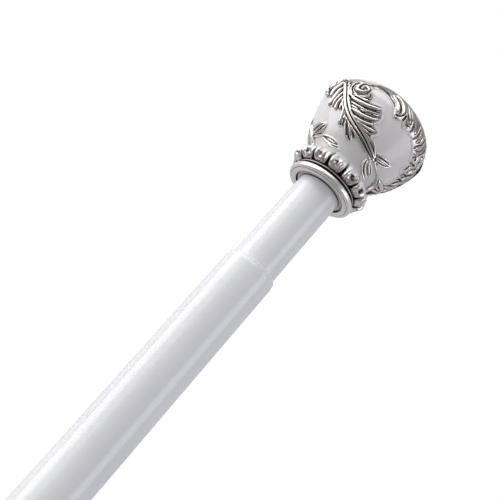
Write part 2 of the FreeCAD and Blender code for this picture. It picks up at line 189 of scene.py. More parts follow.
def noise(t, scale, detail=3.0, rough=0.5, stretch=None):
    """Object-space noise; scale is in features per metre."""
    tc = add(t, "ShaderNodeTexCoord")
    n = add(t, "ShaderNodeTexNoise")
    n.inputs["Scale"].default_value = scale
    n.inputs["Detail"].default_value = detail
    n.inputs["Roughness"].default_value = rough
    if stretch:
        mp = add(t, "ShaderNodeMapping")
        mp.inputs["Scale"].default_value = stretch
        t.links.new(tc.outputs["Object"], mp.inputs["Vector"])
        t.links.new(mp.outputs["Vector"], n.inputs["Vector"])
    else:
        t.links.new(tc.outputs["Object"], n.inputs["Vector"])
    return n


def ramp(t, src, stops):
    r = add(t, "ShaderNodeValToRGB")
    e = r.color_ramp.elements
    while len(e) > 1:
        e.remove(e[-1])
    e[0].position, e[0].color = stops[0][0], (*stops[0][1], 1)
    for p, c in stops[1:]:
        x = e.new(p)
        x.color = (*c, 1)
    t.links.new(src, r.inputs["Fac"])
    return r


def grey(v):
    return (v, v, v)


def bump(t, b, src, strength, distance):
    n = add(t, "ShaderNodeBump")
    n.inputs["Strength"].default_value = strength
    n.inputs["Distance"].default_value = distance
    t.links.new(src, n.inputs["Height"])
    t.links.new(n.outputs["Normal"], b.inputs["Normal"])
    return n


def enamel(name, warm, cool, rough=(0.20, 0.27), coat=0.35, grain=420.0, peel=0.02):
    """Gloss white enamel: faint tone drift, orange peel and uneven gloss. Where its dark vertex value is high, the
    colour is mixed towards near black: painted shade."""
    m, t, b = nodes_of(name)
    big = noise(t, 38.0, 2.0)
    c = add(t, "ShaderNodeMix", data_type="RGBA")
    t.links.new(add(t, "ShaderNodeAttribute", attribute_name="wash_and_painted_shade").outputs["Fac"], c.inputs["Factor"])
    t.links.new(ramp(t, big.outputs["Fac"], [(0.3, warm), (0.7, cool)]).outputs["Color"], c.inputs["A"])
    c.inputs["B"].default_value = (0.03, 0.028, 0.027, 1)
    t.links.new(c.outputs["Result"], b.inputs["Base Color"])
    fine = noise(t, grain, 3.0)
    t.links.new(ramp(t, fine.outputs["Fac"], [(0.3, grey(rough[0])), (0.7, grey(rough[1]))]).outputs["Color"],
                b.inputs["Roughness"])
    bump(t, b, fine.outputs["Fac"], peel, 0.0004)
    b.inputs["Coat Weight"].default_value = coat
    b.inputs["Coat Roughness"].default_value = 0.08
    b.inputs["IOR"].default_value = 1.5
    return m


def silver(name, bright=(0.82, 0.81, 0.79), mid=(0.62, 0.61, 0.59), dark=(0.015, 0.011, 0.0095),
           use_cavity=True, gloss=0.27):
    """Silver paint with dark wash left in the hollows and painted shade in other places, both from one vertex value,
    and the ground's white over it where the vertex value 'paint' is high."""
    m, t, b = nodes_of(name)
    spots = noise(t, 900.0, 4.0, 0.6)
    tone = ramp(t, spots.outputs["Fac"], [(0.28, mid), (0.62, bright)])
    if use_cavity:
        at = add(t, "ShaderNodeAttribute", attribute_name="hollow_wash_and_painted_shade")
        mud = noise(t, 2600.0, 3.0, 0.6)
        mix = add(t, "ShaderNodeMath", operation="MULTIPLY_ADD")
        mix.inputs[1].default_value = 0.28
        mix.inputs[2].default_value = -0.14
        t.links.new(mud.outputs["Fac"], mix.inputs[0])
        s = add(t, "ShaderNodeMath", operation="ADD")
        t.links.new(at.outputs["Fac"], s.inputs[0])
        t.links.new(mix.outputs[0], s.inputs[1])
        wash_and_painted_shade = ramp(t, s.outputs[0], [(0.10, grey(0.0)), (0.28, grey(0.45)), (0.50, grey(1.0))])
        c = add(t, "ShaderNodeMix", data_type="RGBA")
        t.links.new(wash_and_painted_shade.outputs["Color"], c.inputs["Factor"])
        t.links.new(tone.outputs["Color"], c.inputs["A"])
        c.inputs["B"].default_value = (*dark, 1)
        over = add(t, "ShaderNodeAttribute", attribute_name="paint")
        c2 = add(t, "ShaderNodeMix", data_type="RGBA")
        t.links.new(over.outputs["Fac"], c2.inputs["Factor"])
        t.links.new(c.outputs["Result"], c2.inputs["A"])
        c2.inputs["B"].default_value = (0.81, 0.805, 0.815, 1)
        t.links.new(c2.outputs["Result"], b.inputs["Base Color"])
        me = ramp(t, wash_and_painted_shade.outputs["Color"], [(0.0, grey(0.96)), (0.9, grey(0.1))])
        bare = add(t, "ShaderNodeMath", operation="SUBTRACT", use_clamp=True)
        t.links.new(me.outputs["Color"], bare.inputs[0])
        t.links.new(over.outputs["Fac"], bare.inputs[1])
        t.links.new(bare.outputs[0], b.inputs["Metallic"])
        ro = ramp(t, wash_and_painted_shade.outputs["Color"], [(0.0, grey(gloss)), (1.0, grey(0.78))])
        t.links.new(ro.outputs["Color"], b.inputs["Roughness"])
    else:
        t.links.new(tone.outputs["Color"], b.inputs["Base Color"])
        b.inputs["Metallic"].default_value = 0.96
        ro = ramp(t, spots.outputs["Fac"], [(0.3, grey(0.24)), (0.7, grey(0.34))])
        t.links.new(ro.outputs["Color"], b.inputs["Roughness"])
    bump(t, b, spots.outputs["Fac"], 0.05, 0.00010)
    return m


def plain_metal(name, a, c, rough, scale=700.0, stretch=None, bumps=0.05):
    m, t, b = nodes_of(name)
    n = noise(t, scale, 4.0, 0.6, stretch)
    t.links.new(ramp(t, n.outputs["Fac"], [(0.3, a), (0.7, c)]).outputs["Color"], b.inputs["Base Color"])
    t.links.new(ramp(t, n.outputs["Fac"], [(0.3, grey(rough[0])), (0.7, grey(rough[1]))]).outputs["Color"],
                b.inputs["Roughness"])
    b.inputs["Metallic"].default_value = 1.0
    bump(t, b, n.outputs["Fac"], bumps, 0.0002)
    return m


def plastic(name, a, c, rough, scale=500.0, bumps=0.08, subsurface=0.0):
    m, t, b = nodes_of(name)
    n = noise(t, scale, 4.0, 0.55)
    t.links.new(ramp(t, n.outputs["Fac"], [(0.3, a), (0.7, c)]).outputs["Color"], b.inputs["Base Color"])
    t.links.new(ramp(t, n.outputs["Fac"], [(0.3, grey(rough[0])), (0.7, grey(rough[1]))]).outputs["Color"],
                b.inputs["Roughness"])
    bump(t, b, n.outputs["Fac"], bumps, 0.0003)
    return m


TUBE_WHITE = enamel("tube_enamel", (0.80, 0.80, 0.83), (0.83, 0.83, 0.86))
GROUND_WHITE = enamel("ground_enamel", (0.80, 0.77, 0.765), (0.83, 0.80, 0.81),
                      rough=(0.26, 0.36), coat=0.25, grain=700.0, peel=0.05)
SILVER = silver("antique_silver_relief", bright=(0.855, 0.805, 0.768), mid=(0.652, 0.602, 0.575))
SILVER_COLLAR = silver("antique_silver_collar", bright=(0.915, 0.87, 0.838), mid=(0.845, 0.80, 0.774), gloss=0.34)
RUBBER = plastic("pad_rubber", (0.50, 0.50, 0.49), (0.60, 0.60, 0.58), (0.62, 0.78), 900.0, 0.15)
NYLON = plastic("natural_nylon", (0.69, 0.69, 0.68), (0.76, 0.76, 0.75), (0.36, 0.5), 260.0, 0.06)
ZINC = plain_metal("zinc_plate", (0.60, 0.61, 0.64), (0.72, 0.72, 0.73), (0.22, 0.38), 600.0)
BRASS = plain_metal("turned_brass", (0.62, 0.45, 0.18), (0.78, 0.60, 0.28), (0.2, 0.34), 900.0, (1.0, 6.0, 6.0))
CAST = plain_metal("cast_zinc", (0.42, 0.43, 0.44), (0.56, 0.57, 0.58), (0.42, 0.6), 1300.0, None, 0.25)
SPRING = plain_metal("spring_wire", (0.30, 0.30, 0.31), (0.48, 0.48, 0.49), (0.22, 0.36), 800.0, (6.0, 1.0, 1.0))

FINISH = {"white_enamel": TUBE_WHITE, "antique_silver": SILVER_COLLAR, "pad_rubber": RUBBER,
          "natural_nylon": NYLON, "zinc_steel": ZINC, "brass": BRASS, "cast_zinc": CAST,
          "spring_steel": SPRING}
SLOT_OF = {s["node"]: s["material_slot"] for s in frame["record"]["subparts"]}
BODY_OF = {n: b for b, names in frame["record"]["behaviour"]["bodies"].items() for n in names}
for name, ob in NODES.items():
    ob.data.materials.clear()
    ob.data.materials.append(FINISH[SLOT_OF[name]])


def replace_node(node):
    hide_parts(node)


# --------------------------------------------------------------------- tubes
def tube(name, node, points, material, painted_shadow_band=None):
    """A thin drawn tube, turned from its wall profile (x, R) in mm. An optional stretch of x has its outside painted
    dark: a painted shadow where the tube runs into a collar."""
    v, f = lathe(points, 176)
    attrs = None
    if painted_shadow_band:
        x, r = v[:, 0], np.hypot(v[:, 1], v[:, 2])
        attrs = {"wash_and_painted_shade": np.interp(x, [painted_shadow_band[0], painted_shadow_band[0] + 0.12, painted_shadow_band[1], painted_shadow_band[1] + 0.3], [0, 1, 1, 0]) * (r > 11.0)}
    ob = make(name, v * MM, f, material, BODY_OF[node], sharp=50, attrs=attrs)
    replace_node(node)
    return ob


def long_wall(x0, x1, r, parts):
    return [(float(x), r) for x in np.linspace(x0, x1, parts + 1)]


OUT0, OUT1 = 33.2, 604.0          # the outer tube's ends; the second is its mouth
tube("outer_tube_skin", "outer_tube",
     [(OUT0, 12.15), (OUT0, 12.62), (OUT0 + 0.08, 12.7)]
     + long_wall(OUT0 + 0.4, OUT1 - 3.8, 12.7, 12)
     + arc3((OUT1 - 3.8, 12.7), (OUT1 - 2.4, 12.64), (OUT1 - 1.1, 12.38), 8)
     + arc3((OUT1 - 1.1, 12.38), (OUT1 - 0.16, 12.06), (OUT1, 11.74), 8)
     + arc3((OUT1, 11.74), (OUT1 - 0.05, 11.52), (OUT1 - 0.3, 11.4), 4)
     + [(OUT1 - 1.0, 11.4), (OUT1 - 1.9, 11.62), (OUT1 - 3.6, 12.02), (OUT1 - 5.0, 12.1)]
     + long_wall(OUT1 - 6.0, OUT0 + 0.5, 12.1, 12), TUBE_WHITE)
IN0, IN1 = 138.0, 678.0
# The inner tube has a painted shadow just inside the inner finial's collar.
tube("inner_tube_skin", "inner_tube",
     [(IN0, 10.55), (IN0, 11.02), (IN0 + 0.08, 11.1)]
     + long_wall(IN0 + 0.4, INNER_X + 0.3, 11.1, 12)
     + [(INNER_X + q, 11.1) for q in (0.42, 0.54, 0.9, 1.3, 1.6, 2.0, 9.0)] + [(IN1 - 0.4, 11.1)]
     + [(IN1 - 0.08, 11.1), (IN1, 11.02), (IN1, 10.58), (IN1 - 0.08, 10.5)]
     + long_wall(IN1 - 0.5, IN0 + 0.5, 10.5, 12) + [(IN0 + 0.08, 10.5)], TUBE_WHITE,
     painted_shadow_band=(INNER_X + 0.42, INNER_X + 1.3))

# -------------------------------------------------------------------- finial
GROUND = outline((11.0, 17.6), [
    ("L", (12.2, 16.75)),
    ("A", (15.8, 17.2), (20.5, 19.8)),
    ("A", (30.4, 25.6), (42.5, 29.0)),
    ("A", (51.4, 25.4), (56.2, 17.6)),
    ("L", (57.0, 17.2))], 0.25)
GP = np.array(GROUND)
GS = np.concatenate([[0], np.cumsum(np.hypot(*np.diff(GP, axis=0).T))])


def s_of(u):
    return np.interp(u, GP[:, 0], GS)


def ground_at(s):
    """u, R and the outward normal (nu, nR) of the white ground at arc length s."""
    u, r = np.interp(s, GS, GP[:, 0]), np.interp(s, GS, GP[:, 1])
    a, b = np.clip(s - 0.8, GS[0], GS[-1]), np.clip(s + 0.8, GS[0], GS[-1])
    du = np.interp(b, GS, GP[:, 0]) - np.interp(a, GS, GP[:, 0])
    dr = np.interp(b, GS, GP[:, 1]) - np.interp(a, GS, GP[:, 1])
    n = np.hypot(du, dr)
    return u, r, -dr / n, du / n


def body_profile():
    inner = [(57.0, 16.8), (56.9, 16.4), (56.0, 16.3), (56.0, 8.3), (55.7, 8.0), (43.0, 8.0),
             (43.0, 3.3), (27.0, 3.3), (27.0, 13.2), (10.7, 13.2)]
    return [(10.7, 17.2)] + GROUND[:2] + GROUND[3:-2:2] + GROUND[-2:] + inner


def collar_profile():
    out = outline((1.0, 13.2), [
        ("L", (0.5, 13.28)),
        ("A", (0.22, 13.9), (0.12, 14.6)), ("A", (0.16, 15.3), (0.42, 15.78)), ("A", (0.60, 15.86), (0.52, 16.02)),
        ("A", (0.66, 16.95), (1.95, 17.5)),
        ("A", (2.9, 17.3), (3.25, 16.6)), ("L", (3.55, 15.8)), ("L", (4.25, 15.7)),
        ("A", (4.85, 16.55), (5.4, 15.75)), ("L", (6.1, 15.5)), ("L", (9.0, 16.3)),
        ("L", (11.3, 16.6))], 0.12)
    return out + [(11.3, 13.2)]


# Angles of the slits between the folded leaves, and of the leaves themselves.
LEAVES = 14
SLIT0 = 111.5


def leaf_mesh(index):
    """One folded leaf of the ring: wide, hollow above, with a small roll at its foot."""
    rows, cols = 42, 41
    side = np.array([(6.05, 15.7), (5.7, 16.35), (5.62, 17.1), (5.95, 17.85), (6.5, 18.5), (7.15, 19.2),
                     (7.9, 19.85), (8.7, 20.25), (9.5, 20.3), (10.3, 20.05), (11.2, 19.5),
                     (12.1, 18.75), (13.0, 18.0), (13.9, 17.35), (14.8, 16.85)])
    line = smooth_path(side)
    ln = np.concatenate([[0], np.cumsum(np.hypot(*np.diff(line, axis=0).T))])
    v = np.linspace(0, ln[-1], rows)
    u0, r0 = np.interp(v, ln, line[:, 0]), np.interp(v, ln, line[:, 1])
    vn = v / ln[-1]
    half = np.interp(vn, [0, 0.08, 0.17, 0.27, 0.40, 0.62, 0.72, 1.0], [8.0, 9.4, 10.7, 11.8, 12.35, 12.5, 12.88, 12.88])
    t = np.sin(np.linspace(-1, 1, cols) * math.pi / 2 * 0.9) / math.sin(math.pi / 2 * 0.9)
    V, T = np.meshgrid(vn, t, indexing="ij")
    wob = 0.5 * math.sin(index * 2.4) + 0.3 * math.sin(index * 5.1 + 1)
    wob2 = 0.5 * math.sin(index * 3.7 + 2)
    up = lambda *pairs: np.interp(V, [p[0] for p in pairs], [p[1] for p in pairs])
    hill = lambda tc, tw, vc, vw: np.exp(-((T - tc) / tw) ** 2 - ((V - vc) / vw) ** 2)
    drop = (up((0, 0.5), (0.26, 0.8), (0.62, 0.8), (0.80, 0.3), (0.90, 0.0)) * np.abs(T) ** 24
            + up((0, 0), (0.22, 0.1), (0.40, 0.5), (0.54, 1.1), (0.68, 1.3), (0.80, 0.9), (0.90, 0.4), (1, 0)) * np.abs(T) ** 5)
    # the leaf's section: a broad left flank, a hollow, a fold and a narrow right edge
    sec = smooth_path([(-1.0, -0.25), (-0.84, 0.32), (-0.64, 0.62 + 0.12 * wob), (-0.42, 0.42), (-0.22 + 0.05 * wob2, 0.02),
                       (-0.04 + 0.08 * wob, -0.26), (0.12, 0.02), (0.26 + 0.06 * wob2, 0.26), (0.42, -0.04), (0.58, -0.10 + 0.1 * wob),
                       (0.74, 0.22), (0.88, 0.34), (1.0, -0.2)])
    fold = 0.22 * hill(-0.04 + 0.08 * wob, 0.045, 0.46, 0.12) + 0.18 * hill(0.46 + 0.04 * wob2, 0.04, 0.42, 0.10)
    body = np.interp(T - 0.07 * wob2 * (1 - T ** 2), sec[:, 0], sec[:, 1] * (1.15 + 0.25 * wob2)) * up((0, 0), (0.22, 0.1), (0.38, 1), (0.56, 0.9), (0.70, 0.15), (0.8, 0))
    roll = 0.50 * hill(0.08, 0.42, 0.23, 0.09) + 0.42 * hill(-0.66, 0.22, 0.28, 0.11)
    dimple = 0.14 * hill(0.02 + 0.3 * wob2, 0.24, 0.22, 0.035)
    waist = (0.20 + 0.12 * wob) * np.exp(-((V - 0.35 - 0.04 * T) / 0.035) ** 2) * np.exp(-((T - 0.1) / 0.42) ** 2)
    lip = 0.25 * np.exp(-((V - 0.60) / 0.05) ** 2) * (1 - np.abs(T) ** 10)
    # a nick in the upper edge, deep on some leaves and hardly there on others
    deep = 1.0 if (index * 5) % 14 in (4, 9, 13) else 0.25
    nick = deep * 0.7 * np.exp(-((T + 0.27 - 0.1 * (V - 0.6)) / 0.055) ** 2) * up((0.45, 0), (0.54, 1), (0.66, 1), (0.74, 0))
    lift = body + roll + lip - fold - dimple - waist - drop - nick
    nu, nr = np.gradient(r0, v), np.gradient(u0, v)
    nl = np.hypot(nu, nr)
    nu, nr = -nu / nl, nr / nl
    U = u0[:, None] + nu[:, None] * lift
    R = r0[:, None] + nr[:, None] * lift
    A = np.radians(SLIT0 + 360.0 / LEAVES * (index + 0.5) + half[:, None] * T + wob * 0.5)
    thick = 1.0
    UI = u0[:, None] + nu[:, None] * (lift * 0.7 - thick) + 0.0 * T
    RI = np.clip(r0[:, None] + nr[:, None] * (lift * 0.7 - thick), 15.2, 19.3)
    UI = np.clip(UI, 6.2, 14.2)
    outer = np.stack([U, R * np.cos(A), R * np.sin(A)], -1).reshape(-1, 3)
    inner = np.stack([UI, RI * np.cos(A), RI * np.sin(A)], -1).reshape(-1, 3)
    n = rows * cols
    faces = grid_faces(rows, cols)
    faces += [tuple(n + i for i in f[::-1]) for f in grid_faces(rows, cols)]
    for i in range(rows - 1):
        for k, flip in ((0, False), (cols - 1, True)):
            a, b = i * cols + k, (i + 1) * cols + k
            faces.append((a, b, n + b, n + a) if not flip else (a, n + a, n + b, b))
    for k in range(cols - 1):
        for i, flip in ((0, True), (rows - 1, False)):
            a, b = i * cols + k, i * cols + k + 1
            faces.append((a, b, n + b, n + a) if not flip else (a, n + a, n + b, b))
    hollow = np.clip(0.75 * np.clip(-body - 0.15, 0, 1) + 0.8 * dimple + 0.7 * waist + 0.9 * nick - 0.5 * lip
                     + (0.60 + 0.2 * wob2) * hill(-0.10 + 0.25 * wob, 0.34, 0.45, 0.045) + 1.9 * fold
                     + (0.40 + 0.25 * wob) * hill(0.16 + 0.3 * wob2, 0.30, 0.34, 0.07)
                     + 0.34 * hill(0.55 - 0.2 * wob, 0.25, 0.20, 0.08)
                     + 0.9 * np.exp(-(V / 0.06) ** 2), 0, 1) * up((0, 1), (0.50, 1), (0.60, 0.25), (0.68, 0), (1, 0))
    # dark wash and painted shade along the leaf's edges, in the slits between the leaves
    slit = np.clip(1.7 * np.abs(T) ** 24 * up((0, 1), (0.78, 1), (0.92, 0), (1, 0)), 0, 1)
    # painted shade over the leaf's upper part, towards the ground
    hollow = np.maximum(np.maximum(hollow, slit), up((0, 0), (0.54, 0), (0.64, 0.40), (1, 0.48)))
    white = np.clip((V - 0.475 - 0.05 * T - 0.03 * wob - 0.035 * np.sin(5.0 * T + 2.0 * index)) / 0.05, 0, 1) * (1 - slit)
    # painted shade: the white on the leaf's back is dimmed
    white *= up((0, 1), (0.54, 1), (0.64, 0.70), (1, 0.66))
    # the leaf's underside is dark all over: painted shade
    cav = np.concatenate([hollow.ravel(), np.ones(n)])
    return np.vstack([outer, inner]), faces, cav, np.concatenate([white.ravel(), np.zeros(n)])


# ------------------------------------------------------------------- ornament
# Ridges and grooves as (u mm, angle deg, half width mm), plates as (u, angle).
RIDGES = {
    "mid1": [(45.9, 52.2, 0.9), (41.6, 57.6, 0.73), (38, 62.2, 0.64), (35.2, 65.8, 0.65),
        (32.8, 70.1, 0.61), (30.7, 75.2, 0.59), (28.8, 81.6, 0.58), (27.4, 89, 0.57), (26.1, 97.2, 0.57),
        (25.2, 105.8, 0.53), (24, 115, 0.49), (23, 123.3, 0.44), (22.3, 130, 0.4)],
    "mid2": [(45.3, 47.6, 0.95), (40.2, 54.8, 0.82), (36.6, 59.4, 0.77), (33.5, 64.1, 0.76),
        (31.1, 68.9, 0.71), (29.1, 74.5, 0.64), (27.2, 81.7, 0.58), (25.7, 90, 0.57), (24.6, 98.6, 0.53),
        (23.6, 107.3, 0.53), (22.6, 116.5, 0.49), (21.9, 125, 0.44), (21.7, 131.6, 0.4)],
    "mid3": [(35.5, 58, 0.55), (32.3, 62.9, 0.62), (30, 67.6, 0.58), (28, 72.9, 0.55), (26.1, 79.6, 0.54),
        (24.7, 87.4, 0.54), (23.6, 95.6, 0.49), (22.6, 103.9, 0.49), (21.7, 113.7, 0.44),
        (21.1, 122.6, 0.4), (20.9, 129.7, 0.35)],
    "l1a": [(46.1, 45.1, 1.07), (44.3, 41.7, 1.5), (42.4, 37.4, 1.61), (40.9, 32.5, 1.4),
        (38.8, 32.2, 1.18), (36.8, 36.7, 0.66)],
    "l1b": [(42.9, 49.9, 0.97), (41.1, 46.1, 1.1), (39.5, 42.8, 1.18), (37.5, 42, 1.03), (35.8, 43, 0.75)],
    "l2a": [(40.7, 52.5, 0.83), (38.4, 49.9, 1.12), (35.9, 47.9, 1.21), (33.6, 46, 1.13),
        (31.7, 44.5, 0.97)],
    "l2b": [(38.3, 55.3, 0.67), (36, 53.8, 0.82), (34.1, 51.7, 0.77), (32.4, 50.7, 0.68), (30.9, 51, 0.58)],
    "l3a": [(36, 57.7, 0.62), (34.1, 56.8, 0.76), (32.3, 55.8, 0.82), (30.6, 56, 0.81), (29.9, 57.9, 0.46)],
    "l4a": [(33.6, 60.5, 0.55), (31.7, 61.2, 0.66), (30.1, 61.7, 0.54)],
    "l5a": [(31.8, 65.1, 0.54), (29.9, 66.8, 0.7), (28, 68, 0.76), (26.1, 68.6, 0.76), (24.4, 68.8, 0.7)],
    "l5b": [(29.4, 69.9, 0.47), (27.3, 71.7, 0.52), (25.3, 72.4, 0.46), (24.1, 74.5, 0.39)],
    "l6a": [(27.9, 75.3, 0.42), (26.3, 79.3, 0.56), (24.5, 84, 0.64), (23, 87.8, 0.64), (21.4, 91.7, 0.5)],
    "l6b": [(27.3, 74.2, 0.35), (25, 76.6, 0.39), (22.6, 80.5, 0.43), (21.2, 85.5, 0.41), (20.6, 91, 0.36)],
    "l7a": [(26.3, 82.7, 0.36), (24.8, 87.7, 0.45), (23.6, 93.6, 0.49), (22.3, 98.8, 0.4)],
    "l8a": [(24.2, 91.2, 0.36), (22.9, 99.4, 0.44), (21.9, 107.3, 0.44), (20.9, 115.5, 0.36)],
    "r0": [(38.1, 69, 0.33), (37.5, 74.8, 0.38), (37.5, 80.2, 0.44), (38.2, 84.6, 0.39)],
    "r1": [(38, 64.9, 0.45), (36.7, 70.9, 0.64), (36.2, 77, 0.75), (36.2, 82.7, 0.7), (36.4, 88.3, 0.71),
        (37.2, 93.8, 0.75), (38.3, 98.5, 0.7)],
    "r2": [(34.8, 70.5, 0.41), (34.2, 77.1, 0.5), (34.2, 82.8, 0.51), (34.3, 88.1, 0.51), (35, 93.9, 0.55),
        (36, 99.6, 0.55)],
    "r2b": [(33.5, 72.2, 0.32), (33.1, 77.6, 0.37), (33.1, 83.2, 0.41), (33.5, 89.5, 0.41),
        (34.1, 95.4, 0.46), (35.2, 101, 0.46)],
    "r3": [(32.3, 74.4, 0.45), (31.8, 80.1, 0.63), (31.6, 85.5, 0.63), (31.8, 91, 0.63),
        (32.5, 96.9, 0.58), (33.8, 102.3, 0.54)],
    "r4": [(29.9, 79.7, 0.35), (29.4, 85.5, 0.49), (29.5, 92.1, 0.53), (30.1, 97.6, 0.54),
        (31.3, 102.7, 0.49)],
    "r5": [(28.9, 83.7, 0.35), (28.4, 90.3, 0.48), (28.4, 97.2, 0.53), (28.8, 103.4, 0.53),
        (29.5, 110, 0.48)],
    "r6": [(27.9, 87.4, 0.31), (27.3, 94.3, 0.4), (27.2, 100.9, 0.44), (27.4, 107.3, 0.4)],
    "r7": [(26.9, 92.8, 0.26), (26.3, 99.6, 0.35), (26, 105.9, 0.35), (25.3, 111.7, 0.35)],
    "redge": [(26.6, 109.3, 0.35), (25.9, 114.2, 0.35), (24.9, 119.9, 0.36), (23.7, 125.1, 0.32),
        (22.6, 129.9, 0.32)],
    "s1a": [(23.1, 129, 0.31), (23.9, 135.1, 0.36), (24.9, 142.5, 0.36), (25.9, 149.9, 0.32),
        (26.5, 153.6, 0.23)],
    "s1b": [(22, 133.9, 0.32), (22.7, 140.9, 0.42), (24.1, 147, 0.45), (26.1, 152.9, 0.32)],
    "s1c": [(23.9, 126.2, 0.31), (24.9, 132.2, 0.36), (25.8, 139.4, 0.36), (26.7, 147.4, 0.27)],
    "s1m": [(22.8, 132.7, 0.23), (23.7, 139.9, 0.27), (25, 147.9, 0.23)],
    "s2a": [(20.2, 124.5, 0.33), (18.4, 125.3, 0.38), (16.6, 129.3, 0.4), (15.2, 137, 0.42),
        (14.6, 147.2, 0.41), (13.7, 154.3, 0.36)],
    "s2b": [(19.9, 126.8, 0.28), (18, 131.6, 0.34), (16.6, 138.8, 0.36), (15.6, 147, 0.34)],
    "s2c": [(20.4, 130.1, 0.32), (19, 136, 0.43), (17.9, 144.2, 0.46), (16.8, 153, 0.35)],
    "s2d": [(20.2, 133.9, 0.27), (19.3, 141.3, 0.38), (18.2, 148.9, 0.39), (16.9, 153.6, 0.32)],
    "stem": [(21.8, 132.8, 0.41), (21.2, 139.4, 0.45), (20.8, 147.9, 0.51), (20.4, 157.2, 0.55),
        (19.5, 166, 0.77), (17.7, 172.8, 1.11), (14.8, 173.6, 1.18), (9.5, 160.7, 0.85)],
    "stem2": [(20.9, 158.1, 0.29), (20.8, 165.8, 0.38), (20.5, 174.3, 0.57), (19, 181.1, 0.75)],
    "lstem": [(25.2, 14.4, 1.29), (22.2, 15, 1.4), (19.1, 19.4, 1.4), (15, 31.4, 1.18), (12.3, 41.1, 0.72)],
    "ls1a": [(19.9, 21.6, 0.75), (20.6, 28, 0.95), (21.6, 36.6, 0.82), (22.7, 44.5, 0.68),
        (23.7, 51.2, 0.49)],
    "ls1b": [(22.2, 22.7, 0.86), (23.1, 30, 1.02), (23.6, 38.6, 0.71), (23.9, 46.1, 0.41)],
    "ls1c": [(19.8, 28.8, 0.57), (20.2, 38.1, 0.7), (21.2, 46.2, 0.7), (23.1, 51.1, 0.41)],
    "ls2a": [(19.1, 22.9, 0.77), (19, 35.6, 0.67), (19.1, 47.1, 0.51), (19.1, 57, 0.46),
        (18.8, 66.4, 0.45), (18.2, 74.5, 0.41), (17.2, 80.2, 0.31)],
    "ls2b": [(18.1, 49.7, 0.33), (17, 58.5, 0.54), (16.2, 67.9, 0.56), (16.3, 75.8, 0.43),
        (16.5, 84, 0.28)],
    "ls2c": [(16.8, 56.6, 0.27), (15.6, 66.8, 0.37), (15.2, 76.4, 0.38), (15.4, 86.3, 0.33)],
    "h1": [(40.5, 195.9, 0.86), (34.4, 184.3, 1.18), (31.2, 180.6, 1.07), (29.2, 180.7, 0.75)],
    "h2": [(37.5, 198.3, 0.86), (32.4, 190.7, 1.18), (28.8, 186.3, 1.07), (26.3, 184.1, 0.75)],
    "h3": [(33.8, 201.2, 0.25), (29.9, 197.8, 1.18), (25.5, 189.5, 1.07), (22.9, 183.1, 0.75)],
    "h4": [(30.1, 204.2, 0.74), (26.2, 199.9, 1.07), (22.1, 190.6, 1.07), (19.9, 182.7, 0.67)],
    "h5": [(26.8, 207.4, 0.86), (21.6, 195.5, 1.07), (18.6, 188.3, 0.97)],
    "vol": [(42.5, 71.4, 0.50), (43.9, 72.1, 0.58), (44.3, 74.6, 0.55), (43.8, 77.0, 0.50),
        (42.5, 77.6, 0.52), (41.4, 75.5, 0.62), (40.9, 72.0, 0.78), (41.2, 67.9, 0.98),
        (42.5, 66.5, 0.92), (44.2, 66.7, 0.66), (45.5, 68.1, 0.50), (46.2, 70.5, 0.42),
        (46.3, 72.8, 0.35)],
    "vol2": [(36.6, 67.7, 0.50), (38.1, 64.6, 0.55), (40.0, 62.2, 0.60), (41.7, 61.0, 0.60),
        (43.3, 60.8, 0.55), (44.9, 61.9, 0.50), (45.9, 64.2, 0.40), (46.3, 66.5, 0.30)],
    "vol3": [(38.6, 69.1, 0.45), (38.2, 72.7, 0.45), (38.0, 76.3, 0.42), (38.1, 79.6, 0.40),
        (38.3, 83.4, 0.38), (39.0, 85.8, 0.36)],
    "under": [(42.5, 80.8, 0.40), (41.9, 82.9, 0.45), (40.7, 84.5, 0.45), (39.4, 84.6, 0.40)],
    "under2": [(39.3, 79.1, 0.60), (40.0, 81.4, 0.75), (41.2, 81.1, 0.60)],
    "f1": [(47.7, 98.1, 0.55), (46.6, 101.7, 0.88), (45.6, 105.0, 1.10), (44.4, 107.5, 1.22),
        (42.8, 109.3, 1.22), (41.5, 110.2, 1.05), (40.4, 110.4, 0.55)],
    "f2": [(49.7, 101.1, 0.42), (49.1, 104.7, 0.60), (48.4, 108.0, 0.60), (47.4, 110.8, 0.70),
        (46.0, 113.2, 0.80), (44.5, 114.9, 0.74), (43.1, 115.6, 0.45)],
    "f1l": [(46.7, 97.4, 0.32), (45.6, 100.8, 0.36), (44.6, 103.3, 0.30)],
    "f12": [(39.5, 110.4, 0.40), (39.9, 112.7, 0.45), (40.3, 115.1, 0.48), (41.1, 116.9, 0.48),
        (42.4, 117.7, 0.42), (43.9, 117.6, 0.34)],
    "f3": [(46.0, 117.4, 0.35), (44.3, 119.5, 0.45), (42.4, 121.1, 0.50), (40.8, 122.3, 0.55),
        (39.2, 123.9, 0.50)],
    "f3b": [(42.7, 122.8, 0.30), (42.1, 125.8, 0.35), (41.3, 127.6, 0.40), (39.9, 127.4, 0.35)],
    "f4": [(51.1, 114.8, 0.40), (46.0, 121.8, 0.40), (44.8, 123.9, 0.62), (43.6, 126.1, 0.40)],
    "f4b": [(51.0, 117.8, 0.35), (46.9, 124.8, 0.35), (45.2, 128.0, 0.38), (43.4, 129.2, 0.42), (41.9, 129.1, 0.45),
        (40.4, 128.9, 0.35)],
    "f5": [(50.9, 120.2, 0.30), (46.9, 127.2, 0.30), (45.6, 130.9, 0.40), (44.1, 133.0, 0.42), (43.0, 135.8, 0.45),
        (43.0, 137.9, 0.40)],
    "f5r": [(50.6, 127.4, 0.50), (48.5, 134.4, 0.50), (47.7, 137.7, 0.60), (45.7, 139.1, 0.50), (43.4, 139.1, 0.42),
        (41.7, 138.1, 0.30)],
    "f6": [(50.3, 138.6, 0.35), (47.0, 141.9, 0.35), (45.5, 143.4, 0.42), (43.4, 144.3, 0.50), (41.7, 145.0, 0.50),
        (40.4, 144.8, 0.35)],
